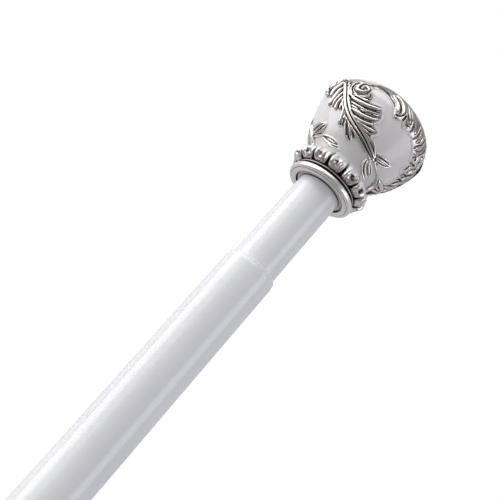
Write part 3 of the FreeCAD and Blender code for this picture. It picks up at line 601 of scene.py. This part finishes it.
    "f6b": [(50.0, 145.0, 0.35), (47.7, 147.3, 0.35), (46.0, 149.0, 0.40), (43.8, 149.1, 0.40), (42.0, 148.3, 0.35),
        (40.6, 146.4, 0.30)],
    "f7": [(49.5, 156.5, 0.40), (46.3, 155.2, 0.40), (43.9, 154.2, 0.42), (41.6, 152.3, 0.42), (40.0, 150.2, 0.40),
        (38.9, 149.9, 0.35)],
    "f8": [(49.1, 162.6, 0.42), (45.5, 160.7, 0.42), (43.1, 159.4, 0.46), (40.9, 158.3, 0.48), (39.0, 155.0, 0.46),
        (38.4, 151.5, 0.40)],
    "f9": [(48.7, 165.3, 0.50), (43.8, 163.2, 0.50), (40.7, 161.9, 0.45), (39.4, 163.1, 0.45), (38.4, 164.7, 0.40),
        (37.1, 163.6, 0.35)],
    "f10": [(48.1, 160.5, 0.50), (42.3, 167.5, 0.50), (41.3, 171.6, 0.50), (39.9, 173.6, 0.45), (37.5, 168.8, 0.35)],
    "g1": [(47.5, 178.5, 0.42), (38.5, 171.5, 0.42), (36.4, 169.4, 0.50), (34.3, 167.2, 0.48), (32.7, 167.5, 0.38),
        (31.6, 168.9, 0.30)],
    "g2": [(46.5, 169.6, 0.45), (40.2, 176.6, 0.45), (38.7, 179.2, 0.50), (36.0, 176.5, 0.50), (33.7, 175.4, 0.50),
        (32.0, 170.8, 0.40)],
    "g3": [(40.7, 192.0, 0.50), (42.5, 194.4, 0.50), (37.5, 187.5, 0.55), (33.9, 184.2, 0.55), (31.2, 180.0, 0.45)],
    "g4": [(39.6, 196.7, 0.50), (38.7, 197.3, 0.50), (35.9, 199.2, 0.55), (31.1, 189.8, 0.50), (28.5, 185.2, 0.40)],
    "edge": [(36.7, 103.7, 0.30), (35.7, 105.0, 0.36), (34.4, 104.8, 0.36), (33.0, 104.0, 0.34),
        (31.9, 102.6, 0.30), (31.2, 103.1, 0.30), (30.7, 106.3, 0.34), (30.3, 109.6, 0.36),
        (29.8, 111.4, 0.36), (28.6, 110.9, 0.34), (27.5, 108.9, 0.30), (26.8, 108.7, 0.30),
        (26.2, 112.1, 0.34), (25.7, 116.5, 0.36), (25.0, 120.5, 0.34), (24.1, 123.6, 0.28)],
}

GROOVES = {
    "mida": [(40.4, 57.3, 0.22), (36.3, 62.1, 0.22), (32.9, 67.4, 0.22), (30.7, 72.7, 0.22),
        (29.2, 77.4, 0.22), (27.9, 83, 0.22), (26.7, 90.2, 0.22), (25.7, 97.5, 0.22), (24.6, 105.7, 0.22),
        (23.5, 113.5, 0.22), (22.6, 122.1, 0.22), (22, 128.5, 0.22)],
    "midb": [(29, 70.3, 0.19), (27.6, 76.1, 0.19), (26.3, 81.9, 0.19), (25.5, 88.7, 0.19),
        (24.7, 95.5, 0.19), (23.9, 103.2, 0.19), (22.7, 112.7, 0.19), (22, 120.5, 0.19), (21.7, 126, 0.19)],
    "la": [(46.7, 40.6, 0.22), (44.3, 41.7, 0.22), (42.3, 41.4, 0.22)],
    "lb": [(41.2, 34.5, 0.27), (39.7, 34.6, 0.27), (38, 36.5, 0.27)],
    "lc": [(37.3, 45.9, 0.22), (35.2, 44.6, 0.22), (33.3, 41, 0.22)],
    "ld": [(34.6, 49.7, 0.22), (31.9, 49.8, 0.22)],
    "le": [(34.2, 53.7, 0.22), (31.7, 54.2, 0.22)],
    "lf": [(32.1, 59.7, 0.22), (29.5, 59.8, 0.22)],
    "lg": [(31.4, 63.2, 0.41), (28.8, 64.8, 0.41), (26.1, 64.7, 0.41)],
    "lh": [(26.9, 71.6, 0.24), (24.2, 74.3, 0.24)],
    "li": [(26.7, 76.2, 0.43), (24.3, 80.1, 0.43), (22, 84.3, 0.43)],
    "lj": [(23.9, 89.7, 0.27), (22, 95.4, 0.27)],
    "b1": [(37, 64.8, 0.53), (36.8, 66.1, 0.53)],
    "b2": [(35.7, 69.4, 0.49), (35.4, 70.9, 0.49)],
    "b3": [(33, 80.6, 0.32), (33.1, 81.5, 0.32)],
    "b4": [(32.5, 85.9, 0.27), (32.7, 86.7, 0.27)],
    "g0": [(37.3, 70.7, 0.22), (37, 79.8, 0.22), (37.4, 88, 0.22), (38.8, 96.8, 0.22), (38.9, 100, 0.22)],
    "g1": [(35.8, 69.8, 0.3), (35.1, 75.9, 0.3), (34.8, 82.9, 0.3), (34.8, 89.6, 0.3), (35.8, 95.9, 0.3),
        (36.5, 99.9, 0.3)],
    "g2": [(34, 71.7, 0.24), (33.5, 79.3, 0.24), (32.8, 86, 0.24), (33.8, 91.3, 0.24), (34.2, 97.5, 0.24),
        (34.9, 103.2, 0.24)],
    "g3": [(31.2, 75.6, 0.46), (30.4, 80.3, 0.46), (30.3, 86.4, 0.46), (30.6, 91.9, 0.46),
        (31.3, 96.7, 0.46)],
    "vda": [(40.3, 57.5, 0.20), (41.8, 57.1, 0.22), (43.4, 56.7, 0.22), (44.9, 56.8, 0.20),
        (46.0, 58.5, 0.18)],
    "vdb": [(39.0, 67.0, 0.24), (40.1, 63.8, 0.28), (41.0, 62.3, 0.30), (42.3, 62.0, 0.30),
        (43.6, 61.9, 0.28), (44.6, 62.8, 0.24), (45.3, 64.4, 0.20)],
    "vdc": [(45.8, 74.5, 0.30), (45.9, 71.8, 0.30), (45.1, 69.7, 0.28), (44.2, 68.8, 0.30),
        (43.2, 68.8, 0.34), (42.4, 68.9, 0.42), (42.0, 70.4, 0.34), (42.1, 72.5, 0.26),
        (42.8, 73.8, 0.22), (43.7, 74.4, 0.26)],
    "vdd": [(37.8, 69.1, 0.31), (37.6, 72.3, 0.31), (37.4, 77.1, 0.38), (37.2, 81.8, 0.43),
        (37.4, 84.7, 0.38)],
    "vsh": [(39.1, 71.2, 0.39), (39.7, 75.0, 0.44), (40.5, 78.2, 0.55), (42.0, 79.4, 0.44),
        (43.3, 79.6, 0.34), (44.2, 78.5, 0.26)],
    "vdf": [(38.5, 83.2, 0.30), (39.3, 85.7, 0.30)],
    "w1": [(46.5, 95.6, 0.30), (45.4, 99.1, 0.30), (44.6, 102.1, 0.30), (43.8, 104.7, 0.26),
        (43.1, 106.1, 0.15)],
    "w2": [(49.1, 99.2, 0.25), (48.3, 103.4, 0.30), (47.1, 107.3, 0.34), (45.6, 110.4, 0.36),
        (44.1, 112.4, 0.36), (42.8, 113.6, 0.30)],
    "w3": [(40.8, 111.1, 0.36), (41.3, 113.3, 0.43), (41.9, 115.3, 0.48), (43.1, 116.6, 0.41),
        (44.3, 116.9, 0.34)],
    "w3b": [(39.5, 112.5, 0.18), (39.7, 115.1, 0.20)],
    "w4": [(41.4, 119.5, 0.65), (42.5, 119.6, 0.65), (43.8, 119.3, 0.50)],
    "w4b": [(41.3, 124.4, 0.44), (41.5, 126.6, 0.44)],
    "w5a": [(46.4, 118.3, 0.20), (45.2, 121.3, 0.24), (43.7, 123.7, 0.24)],
    "w5b": [(43.1, 126.5, 0.24), (43.3, 128.4, 0.24)],
    "w5": [(45.3, 129.9, 0.36), (43.6, 131.5, 0.48), (41.9, 132.2, 0.70), (40.7, 131.8, 0.56)],
    "w6": [(46.6, 133.0, 0.24), (46.0, 134.9, 0.26), (44.7, 136.2, 0.43)],
    "w6a": [(40.4, 139.5, 0.68), (42.0, 140.7, 0.75), (43.7, 141.3, 0.60), (46.0, 141.2, 0.45)],
    "w7a": [(47.1, 145.9, 0.25), (45.5, 147.6, 0.30), (43.6, 147.8, 0.24)],
    "w7": [(47.7, 154.4, 0.41), (45.5, 153.3, 0.49), (43.4, 152.4, 0.41), (41.5, 149.5, 0.35),
        (40.2, 148.4, 0.49), (39.1, 148.3, 0.62)],
    "w8": [(46.1, 158.7, 0.26), (43.9, 157.8, 0.36), (41.9, 156.8, 0.31), (40.2, 154.4, 0.26),
        (39.6, 152.3, 0.19)],
    "w8b": [(45.3, 168.9, 0.47), (42.5, 166.4, 0.47)],
    "w9": [(37.2, 157.5, 0.68), (38.6, 159.2, 0.83), (38.0, 162.6, 0.75)],
    "w9b": [(40.2, 170.0, 0.30), (40.4, 171.3, 0.30)],
    "w10": [(35.5, 161.3, 0.59), (36.4, 165.8, 0.64), (37.7, 170.2, 0.42)],
    "w11": [(34.7, 164.9, 0.43), (33.2, 166.1, 0.48), (32.0, 166.6, 0.36)],
    "w12": [(39.6, 178.7, 0.28), (36.4, 173.9, 0.32), (34.6, 173.2, 0.34), (33.4, 172.7, 0.26)],
    "w13": [(33.4, 179.6, 0.50), (31.6, 172.9, 0.59), (30.5, 172.6, 0.59)],
    "w14": [(28.3, 176.2, 0.59), (29.6, 178.7, 0.70), (30.9, 183.9, 0.59)],
    "rim": [(27.8, 206.3, 0.35), (31.0, 203.7, 0.40), (33.6, 201.1, 0.40), (36.0, 199.1, 0.40),
        (38.6, 197.2, 0.40), (41.2, 195.4, 0.36), (42.5, 191.1, 0.30)],
    "vla": [(46.4, 74.1, 0.30), (46.6, 76.9, 0.42), (47.8, 80.1, 0.46), (47.9, 84.4, 0.48),
        (47.7, 89.3, 0.46), (47.0, 93.4, 0.46), (46.4, 96.2, 0.40)],
}

PLATES = {
    "leaf": [(49.1, 42.2), (47.4, 35.7), (45.2, 28.9), (43, 24), (40.6, 24.3), (36.5, 35.6), (35.3, 43.6),
        (33.7, 43), (32.2, 41), (30.7, 44.8), (30.7, 50.6), (29.4, 55.1), (29.6, 59.8), (29.9, 63.6),
        (27.8, 64.1), (25.8, 63.5), (24.3, 64.9), (23.3, 68.7), (23.5, 73.3), (23.4, 76.4), (22.9, 78.5),
        (21.8, 81.3), (21.1, 87.1), (21.1, 94.1), (21.9, 96.8), (21.9, 100.5), (21.3, 106.6), (20.8, 114.9),
        (20.5, 123.3), (20.4, 130.6), (21.3, 134.5), (22.8, 131.1), (24.1, 125.9), (25.3, 120),
        (26.2, 113.1), (26.6, 109.6), (27.5, 111.2), (29, 113.6), (30.4, 111.7), (31.1, 107.6),
        (31.4, 105), (32.8, 106), (34.7, 106.4), (35.9, 105), (36.6, 102.9), (37.9, 102.9), (39.1, 102.1),
        (40.1, 100.1), (39.9, 96.1), (39.3, 90.5), (39, 87.1), (40.5, 87), (42.3, 85.1), (43.7, 82),
        (45.6, 78.8), (47.5, 75), (49.4, 66.3), (49.9, 55.4), (49.8, 45.5)],
    "s1": [(24.2, 124), (25.2, 130.7), (26.4, 139), (27, 147.4), (26.9, 154.6), (25.7, 154.1),
        (23.8, 149.1), (22.3, 142.2), (21.6, 135.6)],
    "s2": [(20.8, 122.9), (18.5, 123.6), (16.2, 128.3), (14.7, 136.5), (13.9, 146.3), (13.3, 156.1),
        (14.3, 156.1), (15.1, 148.8), (16.1, 150.6), (16.3, 156.4), (17.5, 153.1), (19.2, 145.6),
        (20.5, 135.3), (21.3, 129)],
    "ls1": [(19.9, 17.6), (22.9, 23.3), (23.8, 31.8), (24.4, 41.7), (24, 53.1), (22.3, 52.4), (20.4, 47),
        (19.4, 38.7)],
    "ls2": [(19.6, 44), (19.5, 56.4), (19.2, 66.7), (18.6, 74.9), (17.6, 81.8), (15.5, 89), (14.6, 84.1),
        (14.3, 75.7), (15, 65.7), (16.6, 54.6), (18, 47.3)],
}

# The wreath's band, and what ties one half of the ornament to the other.
WREATH_IN = [(46.9, 72.0), (45.0, 77.0), (45.3, 83.4), (45.7, 89.7), (44.9, 96.3), (43.6, 101.3), (42.2, 105.4),
             (40.3, 108.6), (38.9, 112.8), (40.2, 117.0), (40.5, 119.9), (39.1, 123.3), (39.3, 127.2),
             (40.2, 129.8), (39.1, 133.1), (40.0, 136.4), (38.5, 141.0), (38.4, 145.0), (37.4, 148.8),
             (36.6, 153.1), (35.0, 155.7), (34.7, 159.3), (32.1, 159.1), (29.7, 161.1), (29.5, 170.6),
             (28.0, 175.2), (25.4, 178.3), (22.4, 178.3), (20.0, 180.5), (16.0, 182.5), (12.6, 186.5)]
WREATH_OUT = [(12.2, 196.0), (15.5, 197.0), (19.5, 201.0), (24.0, 205.0), (28.3, 208.0), (32.5, 208.0),
              (37.0, 205.5), (41.0, 201.5), (44.5, 196.0), (46.8, 187.0), (48.2, 177.0), (49.3, 167.0),
              (50.2, 156.0), (50.7, 144.0), (51.2, 132.0), (51.7, 120.0), (52.2, 108.0), (52.2, 97.0),
              (51.2, 86.0), (49.6, 76.0), (48.4, 70.0)]
PLATES["wreath"] = WREATH_IN + WREATH_OUT
RIDGES.update({
    # the vine that leaves the volute and runs along the far side of the wreath
    "vine1": [(46.1, 74.4, 0.60), (46.5, 77.6, 0.80), (47.3, 80.9, 0.85), (47.6, 84.9, 0.85), (47.4, 89.5, 0.85), (47.0, 93.3, 0.80), (46.6, 96.0, 0.60)],
    "vine4": [(44.8, 79.1, 0.32), (45.9, 80.5, 0.42), (46.4, 83.1, 0.40), (46.3, 86.6, 0.30)],
    "vine2": [(48.9, 74, 0.8), (49.6, 84, 0.95), (50.5, 93, 1.0), (50.9, 103, 0.95), (50.7, 112, 0.9),
              (50.2, 121, 0.9)],
    "vine6": [(50.4, 118, 0.9), (49.7, 130, 0.9), (49.3, 139, 0.9), (48.9, 148, 0.9), (48.5, 157, 0.9),
              (47.6, 166, 0.95), (46.4, 175, 1.0), (45.2, 182, 1.0)],
    "vine5": [(45.6, 180, 1.0), (44.6, 186, 1.0), (42.9, 193, 1.0), (39.3, 199.5, 1.05),
              (35.0, 203, 1.1), (30.2, 204.4, 1.15), (25.6, 202, 1.2), (21.2, 197, 1.2), (17.2, 192.5, 1.2),
              (13.0, 190.5, 1.1)],
    # the stem of the left spray, coming round from the other half's wreath
    "tie": [(20.6, -14, 0.9), (21.2, -7, 1.0), (21.8, 1, 1.1), (22.4, 8, 1.2), (22.6, 14, 1.3)],
})


def polygon_depth(x, y, poly):
    """Signed distance into a polygon (positive inside), x and y arrays."""
    px, py = np.array(poly, float).T
    inside = np.zeros(x.shape, bool)
    best = np.full(x.shape, 1e9)
    n = len(px)
    for i in range(n):
        j = (i + 1) % n
        ax, ay, bx, by = px[i], py[i], px[j], py[j]
        ex, ey = bx - ax, by - ay
        l2 = ex * ex + ey * ey + 1e-12
        t = np.clip(((x - ax) * ex + (y - ay) * ey) / l2, 0, 1)
        d = np.hypot(x - ax - t * ex, y - ay - t * ey)
        best = np.minimum(best, d)
        cross = ((ay > y) != (by > y)) & (x < (bx - ax) * (y - ay) / (by - ay + 1e-12) + ax)
        inside ^= cross
    return np.where(inside, best, -best)


def blur(a, sigma_rows, sigma_cols):
    """Gaussian blur: rows end, columns run round."""
    def kernel(s):
        n = max(1, int(3 * s + 0.5))
        k = np.exp(-0.5 * (np.arange(-n, n + 1) / s) ** 2)
        return k / k.sum(), n
    k, n = kernel(sigma_cols)
    out = sum(w * np.roll(a, i - n, 1) for i, w in enumerate(k))
    k, n = kernel(sigma_rows)
    pad = np.pad(out, ((n, n), (0, 0)), mode="edge")
    return sum(w * pad[i:i + a.shape[0]] for i, w in enumerate(k))


STEP = 0.24
ROWS_S = np.arange(s_of(11.7), s_of(54.0), STEP)
COLS = 740
GU, GR, GNU, GNR = ground_at(ROWS_S)
PHI = np.arange(COLS) / COLS * 360.0


def half_warp(phi, second):
    """The ornament goes round twice. The second half is drawn in a little."""
    phi = np.asarray(phi, float)
    if not second:
        return phi
    return 180.0 + np.where(phi <= 110, phi, 110 + (phi - 110) * 0.64)


# How much wider than traced the ridges of each family are cast.
WIDER = {"r": 1.55, "l": 1.34, "mid": 1.12, "vol": 1.12, "f": 1.12, "g": 1.12, "h": 1.2, "redge": 1.0}
# Ridges with painted shade, darker where they lie in shade, and blades whose crest lies to one side.
RIDGE_PAINTED_SHADE = {"vine1": 0.40, "vine2": 0.38, "vine4": 0.0, "vine6": 0.18, "vine5": 0.50, "under": 0.30, "f3": 0.16, "f5r": 0.10, "g3": 0.18, "g4": 0.16, "h": 0.20}
SKEW = {"f1": 0.55, "f2": 0.5}
PAINTED = ("edge",)
TALL = {"edge": 0.62, "f1": 1.15, "f2": 1.1, "vine1": 0.7, "vine2": 0.6, "vine6": 0.6, "vine4": 0.8, "vine5": 1.55, "l1a": 2.2,
        "l1b": 1.8, "under": 0.8, "under2": 0.75}


def height_field():
    h = np.zeros((len(ROWS_S), COLS))
    cut = np.ones_like(h)
    plate = np.zeros_like(h)
    wash_and_painted_shade = np.zeros_like(h)
    white = np.zeros_like(h)
    for second in (False, True):
        for name, poly in PLATES.items():
            p = np.array(poly, float)
            s = s_of(p[:, 0])
            ph = half_warp(p[:, 1], second)
            rm = float(np.mean(np.interp(s, ROWS_S, GR)))
            lo, hi = ph.min() - 6, ph.max() + 6
            k = np.arange(int(lo / 360 * COLS), int(hi / 360 * COLS) + 1)
            rows = np.where((ROWS_S > s.min() - 1.5) & (ROWS_S < s.max() + 1.5))[0]
            # the band's width changes with the radius, so it is measured row by row
            x, y = np.meshgrid(ROWS_S[rows], k * 360.0 / COLS, indexing="ij")
            sc = math.radians(1) * rm
            d = polygon_depth(x, y * sc, np.stack([s, ph * sc], 1))
            q = np.clip((d + 0.12) / 0.5, 0, 1)
            val = (0.42 if name == "wreath" else 0.40) * q * q * (3 - 2 * q)
            sub = plate[np.ix_(rows, k % COLS)]
            plate[np.ix_(rows, k % COLS)] = np.maximum(sub, val)
        for table, is_ridge in ((RIDGES, True), (GROOVES, False)):
            for name, pts in table.items():
                q = smooth_path(pts)
                s = s_of(q[:, 0])
                ph = half_warp(q[:, 1], second)
                word = re.match("[a-z]+", name).group()
                w = q[:, 2] * WIDER.get(word, 1.12) + 0.06 if is_ridge else q[:, 2] + 0.06
                n = len(w)
                if is_ridge:
                    e = np.minimum(np.arange(n), np.arange(n)[::-1]) / 6.0
                    w = w * (0.55 + 0.45 * np.clip(e, 0, 1) ** 0.6)
                    fade = 0.35 + 0.65 * np.clip(np.minimum(np.arange(n), np.arange(n)[::-1]) / 14.0, 0, 1)
                    if word == "r":
                        w = w * (0.30 + 0.70 * np.clip((1 - np.arange(n) / (n - 1)) / 0.28, 0, 1) ** 0.7)
                for i in range(n - 1):
                    r = float(np.interp(0.5 * (s[i] + s[i + 1]), ROWS_S, GR)) + 0.6
                    pc = 0.5 * (ph[i] + ph[i + 1])
                    wm = max(w[i], w[i + 1])
                    r0, r1 = np.searchsorted(ROWS_S, [min(s[i], s[i + 1]) - wm, max(s[i], s[i + 1]) + wm])
                    reach = math.degrees(wm / r)
                    k0 = int(math.floor((min(ph[i], ph[i + 1]) - reach) / 360 * COLS))
                    k1 = int(math.ceil((max(ph[i], ph[i + 1]) + reach) / 360 * COLS))
                    if r1 <= r0:
                        continue
                    rows = np.arange(r0, min(r1 + 1, len(ROWS_S)))
                    k = np.arange(k0, k1 + 1)
                    x, y = np.meshgrid(ROWS_S[rows], np.radians(k * 360.0 / COLS - pc) * r, indexing="ij")
                    ax, ay = s[i], math.radians(ph[i] - pc) * r
                    bx, by = s[i + 1], math.radians(ph[i + 1] - pc) * r
                    ex, ey = bx - ax, by - ay
                    t = np.clip(((x - ax) * ex + (y - ay) * ey) / (ex * ex + ey * ey + 1e-9), 0, 1)
                    d = np.hypot(x - ax - t * ex, y - ay - t * ey)
                    ww = w[i] + (w[i + 1] - w[i]) * t
                    ix = np.ix_(rows, k % COLS)
                    if is_ridge:
                        tall = TALL.get(name, np.minimum(0.42 + 0.85 * ww, 1.5))
                        if word == "vine":
                            tall = tall * (fade[i] + (fade[i + 1] - fade[i]) * t)
                        lean = SKEW.get(name, 0.0)
                        q3 = np.where(ex * (y - ay) - ey * (x - ax) < 0, 1, -1) * d / ww
                        q3 = np.abs(q3 - lean) / np.where(q3 < lean, 1 + lean, 1 - lean)
                        val = tall * np.clip(1 - q3 ** 2, 0, 1) ** 0.6 * (d < ww)
                        on_top = val > h[ix]
                        white[ix] = np.where(on_top, float(name in PAINTED), white[ix])
                        wash_and_painted_shade[ix] = np.where(on_top, RIDGE_PAINTED_SHADE.get(name, RIDGE_PAINTED_SHADE.get(word, 0.0)), wash_and_painted_shade[ix])
                        h[ix] = np.maximum(h[ix], val)
                    else:
                        q2 = np.clip(d / ww, 0, 1)
                        cut[ix] = np.minimum(cut[ix], q2 * q2 * (3 - 2 * q2))
    rise = np.maximum(h, plate)
    rise = blur(rise, 0.55, 0.55)
    rise = rise * (0.18 + 0.82 * cut)
    wide = blur(rise, 1.8, 1.8)
    hollow_wash_and_painted_shade = np.clip((wide - rise) / 0.19, 0, 1)
    hollow_wash_and_painted_shade = np.maximum(hollow_wash_and_painted_shade, np.clip((1 - cut) * 1.05, 0, 1) * (rise > 0.02))
    # the flat plate between ridges holds wash too
    ridged = blur((h > 0.3).astype(float), 2.8, 2.8)
    hollow_wash_and_painted_shade = np.maximum(hollow_wash_and_painted_shade, (0.26 + 0.46 * np.clip((ridged - 0.30) / 0.25, 0, 1)) * np.clip((0.5 - rise) / 0.15, 0, 1))
    # the ridges' painted shade is added to the dark wash
    hollow_wash_and_painted_shade = np.maximum(hollow_wash_and_painted_shade, wash_and_painted_shade)
    # the ground's white runs up over the border of the relief
    solid = (rise > 0.05).astype(float)
    edge = np.clip((0.86 - blur(solid, 1.6, 1.6)) / 0.1, 0, 1)
    margin = np.clip((0.88 - blur(solid, 5.0, 5.0)) / 0.1, 0, 1)
    margin *= np.clip((0.50 - ridged) / 0.14, 0, 1)
    paint = np.maximum(edge, margin) * np.clip((0.52 - rise) / 0.1, 0, 1)
    paint = np.maximum(paint, np.clip(blur(white, 0.5, 0.5) * 1.3, 0, 1))
    return rise, hollow_wash_and_painted_shade, paint


RISE, RELIEF_WASH_AND_SHADE, PAINT = height_field()


def relief_shell(keep):
    """Faces of the height field where keep is true, as verts, faces, dark wash with painted shade, and paint."""
    cell = keep & np.roll(keep, -1, 1)
    cell = cell[:-1] & cell[1:]
    ii, kk = np.where(cell)
    ll = (kk + 1) % COLS
    quads = np.stack([ii * COLS + kk, ii * COLS + ll, (ii + 1) * COLS + ll, (ii + 1) * COLS + kk], 1)
    used, inv = np.unique(quads, return_inverse=True)
    quads = inv.reshape(quads.shape)
    r, k = used // COLS, used % COLS
    lift = RISE[r, k] - 0.10
    a = np.radians(PHI[k])
    u = GU[r] + GNU[r] * lift
    rad = GR[r] + GNR[r] * lift
    v = np.stack([u, rad * np.cos(a), rad * np.sin(a)], 1)
    return v, quads, RELIEF_WASH_AND_SHADE[r, k], PAINT[r, k]


def finial(end):
    node = end + "_finial"
    body = BODY_OF[node]
    v, f = lathe(body_profile(), 216)
    # painted shade on the neck, behind the ring of leaves
    neck_painted_shade = 0.25 * np.clip((24.0 - v[:, 0]) / 8.0, 0, 1) ** 1.3 * (np.hypot(v[:, 1], v[:, 2]) > 15.0)
    ground = make(end + "_finial_ground", place(v, end), f, GROUND_WHITE, body, sharp=40, attrs={"wash_and_painted_shade": neck_painted_shade})
    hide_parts(node)
    v, f = lathe(collar_profile(), 224)
    rr = np.hypot(v[:, 1], v[:, 2])
    uu = v[:, 0]
    dark = np.interp(uu, [3.0, 3.35, 4.35, 4.62, 5.08, 5.3], [0.0, 1.0, 1.0, 0.25, 0.25, 1.0]) * (rr < 17.0) * (rr > 15.0)
    # painted shade: the collar's bore is dark all the way in
    dark = np.maximum(dark, np.where((uu > 0.45) & (rr < 13.35), 1.0, 0.0))
    dark = np.maximum(dark, np.where((uu > 0.47) & (rr < 16.0) & (rr > 15.7) & (uu < 1.0), 0.42, 0.0))
    collar = make(end + "_finial_collar", place(v, end), f, SILVER_COLLAR, body, sharp=50, attrs={"hollow_wash_and_painted_shade": dark})
    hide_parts(node)
    vs, fs, cs, ws, base = [], [], [], [], 0
    for i in range(LEAVES):
        v, f, c, w = leaf_mesh(i)
        vs.append(v)
        ws.append(w)
        fs += [tuple(base + x for x in q) for q in f]
        cs.append(c)
        base += len(v)
    leaves = make(end + "_finial_leaves", place(np.vstack(vs), end), fs, SILVER, body, sharp=60,
                  attrs={"hollow_wash_and_painted_shade": np.concatenate(cs), "paint": np.concatenate(ws)})
    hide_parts(node)
    shown = RISE > 0.03
    for tag, lo, hi in (("a", 12.0, 198.0), ("b", 198.0, 372.0)):
        inside = ((PHI >= lo) & (PHI <= hi)) | (PHI + 360 <= hi)
        v, f, c, w = relief_shell(shown & inside[None, :])
        ob = make(end + "_finial_relief_" + tag, place(v, end), f, SILVER, body, sharp=80, fix=False,
                  attrs={"hollow_wash_and_painted_shade": c, "paint": w})
        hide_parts(node)


finial("inner")
finial("outer")


# -------------------------------------------------------------------- spring
def spring():
    x0, x1 = 162.4, 250.0
    coil, wire, turns = 8.2, 0.9, 15.0
    n, m = 15 * 40, 12
    t = np.linspace(0, 1, n + 1)
    a = t * turns * TAU
    # the end turns lie flat, as on a spring with closed ends
    pitch = np.interp(t, [0, 0.9 / turns, 2.0 / turns, 1 - 2.0 / turns, 1 - 0.9 / turns, 1],
                      [0.30, 0.32, 1.0, 1.0, 0.32, 0.30])
    run = np.concatenate([[0], np.cumsum(0.5 * (pitch[1:] + pitch[:-1]))])
    x = x0 + wire + (x1 - x0 - 2 * wire) * run / run[-1]
    c = np.stack([x, coil * np.cos(a), coil * np.sin(a)], 1)
    tan = np.gradient(c, axis=0)
    tan /= np.linalg.norm(tan, axis=1)[:, None]
    out = np.stack([np.zeros(n + 1), np.cos(a), np.sin(a)], 1)
    side = np.cross(tan, out)
    side /= np.linalg.norm(side, axis=1)[:, None]
    b = np.arange(m) / m * TAU
    v = (c[:, None, :] + wire * (np.cos(b)[None, :, None] * out[:, None, :]
                                 + np.sin(b)[None, :, None] * side[:, None, :])).reshape(-1, 3)
    f = grid_faces(n + 1, m, wrap=True)
    f.append(tuple(range(m))[::-1])
    f.append(tuple(n * m + i for i in range(m)))
    ob = make("power_spring_wire", v * MM, f, SPRING, sharp=50)
    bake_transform(ob)
    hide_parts("power_spring")


spring()

# --------------------------------------------------------------------- stage
FLOOR_Z = -0.42

def seen_white(t, other, out):
    """Plain white to the camera, and the other shader to every other ray."""
    lp = add(t, "ShaderNodeLightPath")
    em = add(t, "ShaderNodeEmission") if out.type == "OUTPUT_MATERIAL" else add(t, "ShaderNodeBackground")
    em.inputs["Color"].default_value = (1, 1, 1, 1)
    em.inputs["Strength"].default_value = 1.0
    mix = add(t, "ShaderNodeMixShader")
    t.links.new(lp.outputs["Is Camera Ray"], mix.inputs["Fac"])
    t.links.new(other, mix.inputs[1])
    t.links.new(em.outputs[0], mix.inputs[2])
    t.links.new(mix.outputs[0], out.inputs["Surface"])


def floor():
    m, t, b = nodes_of("studio_floor")
    b.inputs["Roughness"].default_value = 0.9
    tone = noise(t, 3.0, 2.0)
    t.links.new(ramp(t, tone.outputs["Fac"], [(0.3, FLOOR_TONE[0]), (0.7, FLOOR_TONE[1])]).outputs["Color"],
                b.inputs["Base Color"])
    seen_white(t, b.outputs[0], t.nodes["Material Output"])
    me = bpy.data.meshes.new("studio_floor")
    e = 14.0
    me.from_pydata([(-e, -e, FLOOR_Z), (e, -e, FLOOR_Z), (e, e, FLOOR_Z), (-e, e, FLOOR_Z)], [], [(0, 1, 2, 3)])
    ob = bpy.data.objects.new("studio_floor", me)
    bpy.context.scene.collection.objects.link(ob)
    me.materials.append(m)


FLOOR_TONE = ((0.60, 0.60, 0.61), (0.64, 0.64, 0.65))
floor()


def area(name, where, aim, size, power, colour=(1, 1, 1)):
    d = bpy.data.lights.new(name, "AREA")
    d.shape = "RECTANGLE"
    d.size, d.size_y = size
    d.energy = power
    d.color = colour
    ob = bpy.data.objects.new(name, d)
    bpy.context.scene.collection.objects.link(ob)
    ob.location = where
    back = (Vector(where) - Vector(aim)).normalized()
    along = Vector((1, 0, 0))
    along = (along - back * along.dot(back)).normalized()
    ob.rotation_mode = "QUATERNION"
    ob.rotation_quaternion = Matrix((along, back.cross(along), back)).transposed().to_quaternion()
    return ob


# A large soft key low on the far side, softer ones above it and beyond the wall
# end, and a cool fill from the near side.
area("key", (0.75, 1.83, 0.62), (0.6, 0, 0), (2.4, 1.1), 24.0)
area("key_top", (0.75, 1.25, 1.45), (0.6, 0, 0), (2.4, 1.3), 10.0)
area("end_soft", (1.84, 0.31, 0.92), (0.7, 0, 0), (1.2, 1.7), 12.2)
area("fill", (0.50, -1.75, 0.30), (0.4, 0, 0), (2.2, 0.9), 12.6, (0.92, 0.92, 1.0))

world = bpy.data.worlds.new("studio")
bpy.context.scene.world = world
world.use_nodes = True
wt = world.node_tree
bg = wt.nodes["Background"]
bg.inputs["Color"].default_value = (0.92, 0.93, 0.95, 1)
bg.inputs["Strength"].default_value = 0.26
seen_white(wt, bg.outputs[0], wt.nodes["World Output"])

# -------------------------------------------------------------------- camera
cam = bpy.data.objects.new("camera", bpy.data.cameras.new("camera"))
bpy.context.scene.collection.objects.link(cam)
right, up, ahead = Vector((0.6283, -0.7780, 0.0)), Vector((0.7088, 0.5724, 0.4121)), Vector((0.3206, 0.2589, -0.9110))
ahead.normalize()
right = (right - ahead * right.dot(ahead)).normalized()
up = right.cross(ahead)
cam.rotation_mode = "QUATERNION"
cam.rotation_quaternion = Matrix((right, up, -ahead)).transposed().to_quaternion()
cam.location = (0.50174, -0.08135, 0.30810)
cam.data.sensor_width = 36.0
cam.data.lens = 53.84
cam.data.clip_start, cam.data.clip_end = 0.01, 100.0
bpy.context.scene.camera = cam
bpy.context.scene.view_settings.view_transform = "Standard"
bpy.context.scene.view_settings.look = "None"
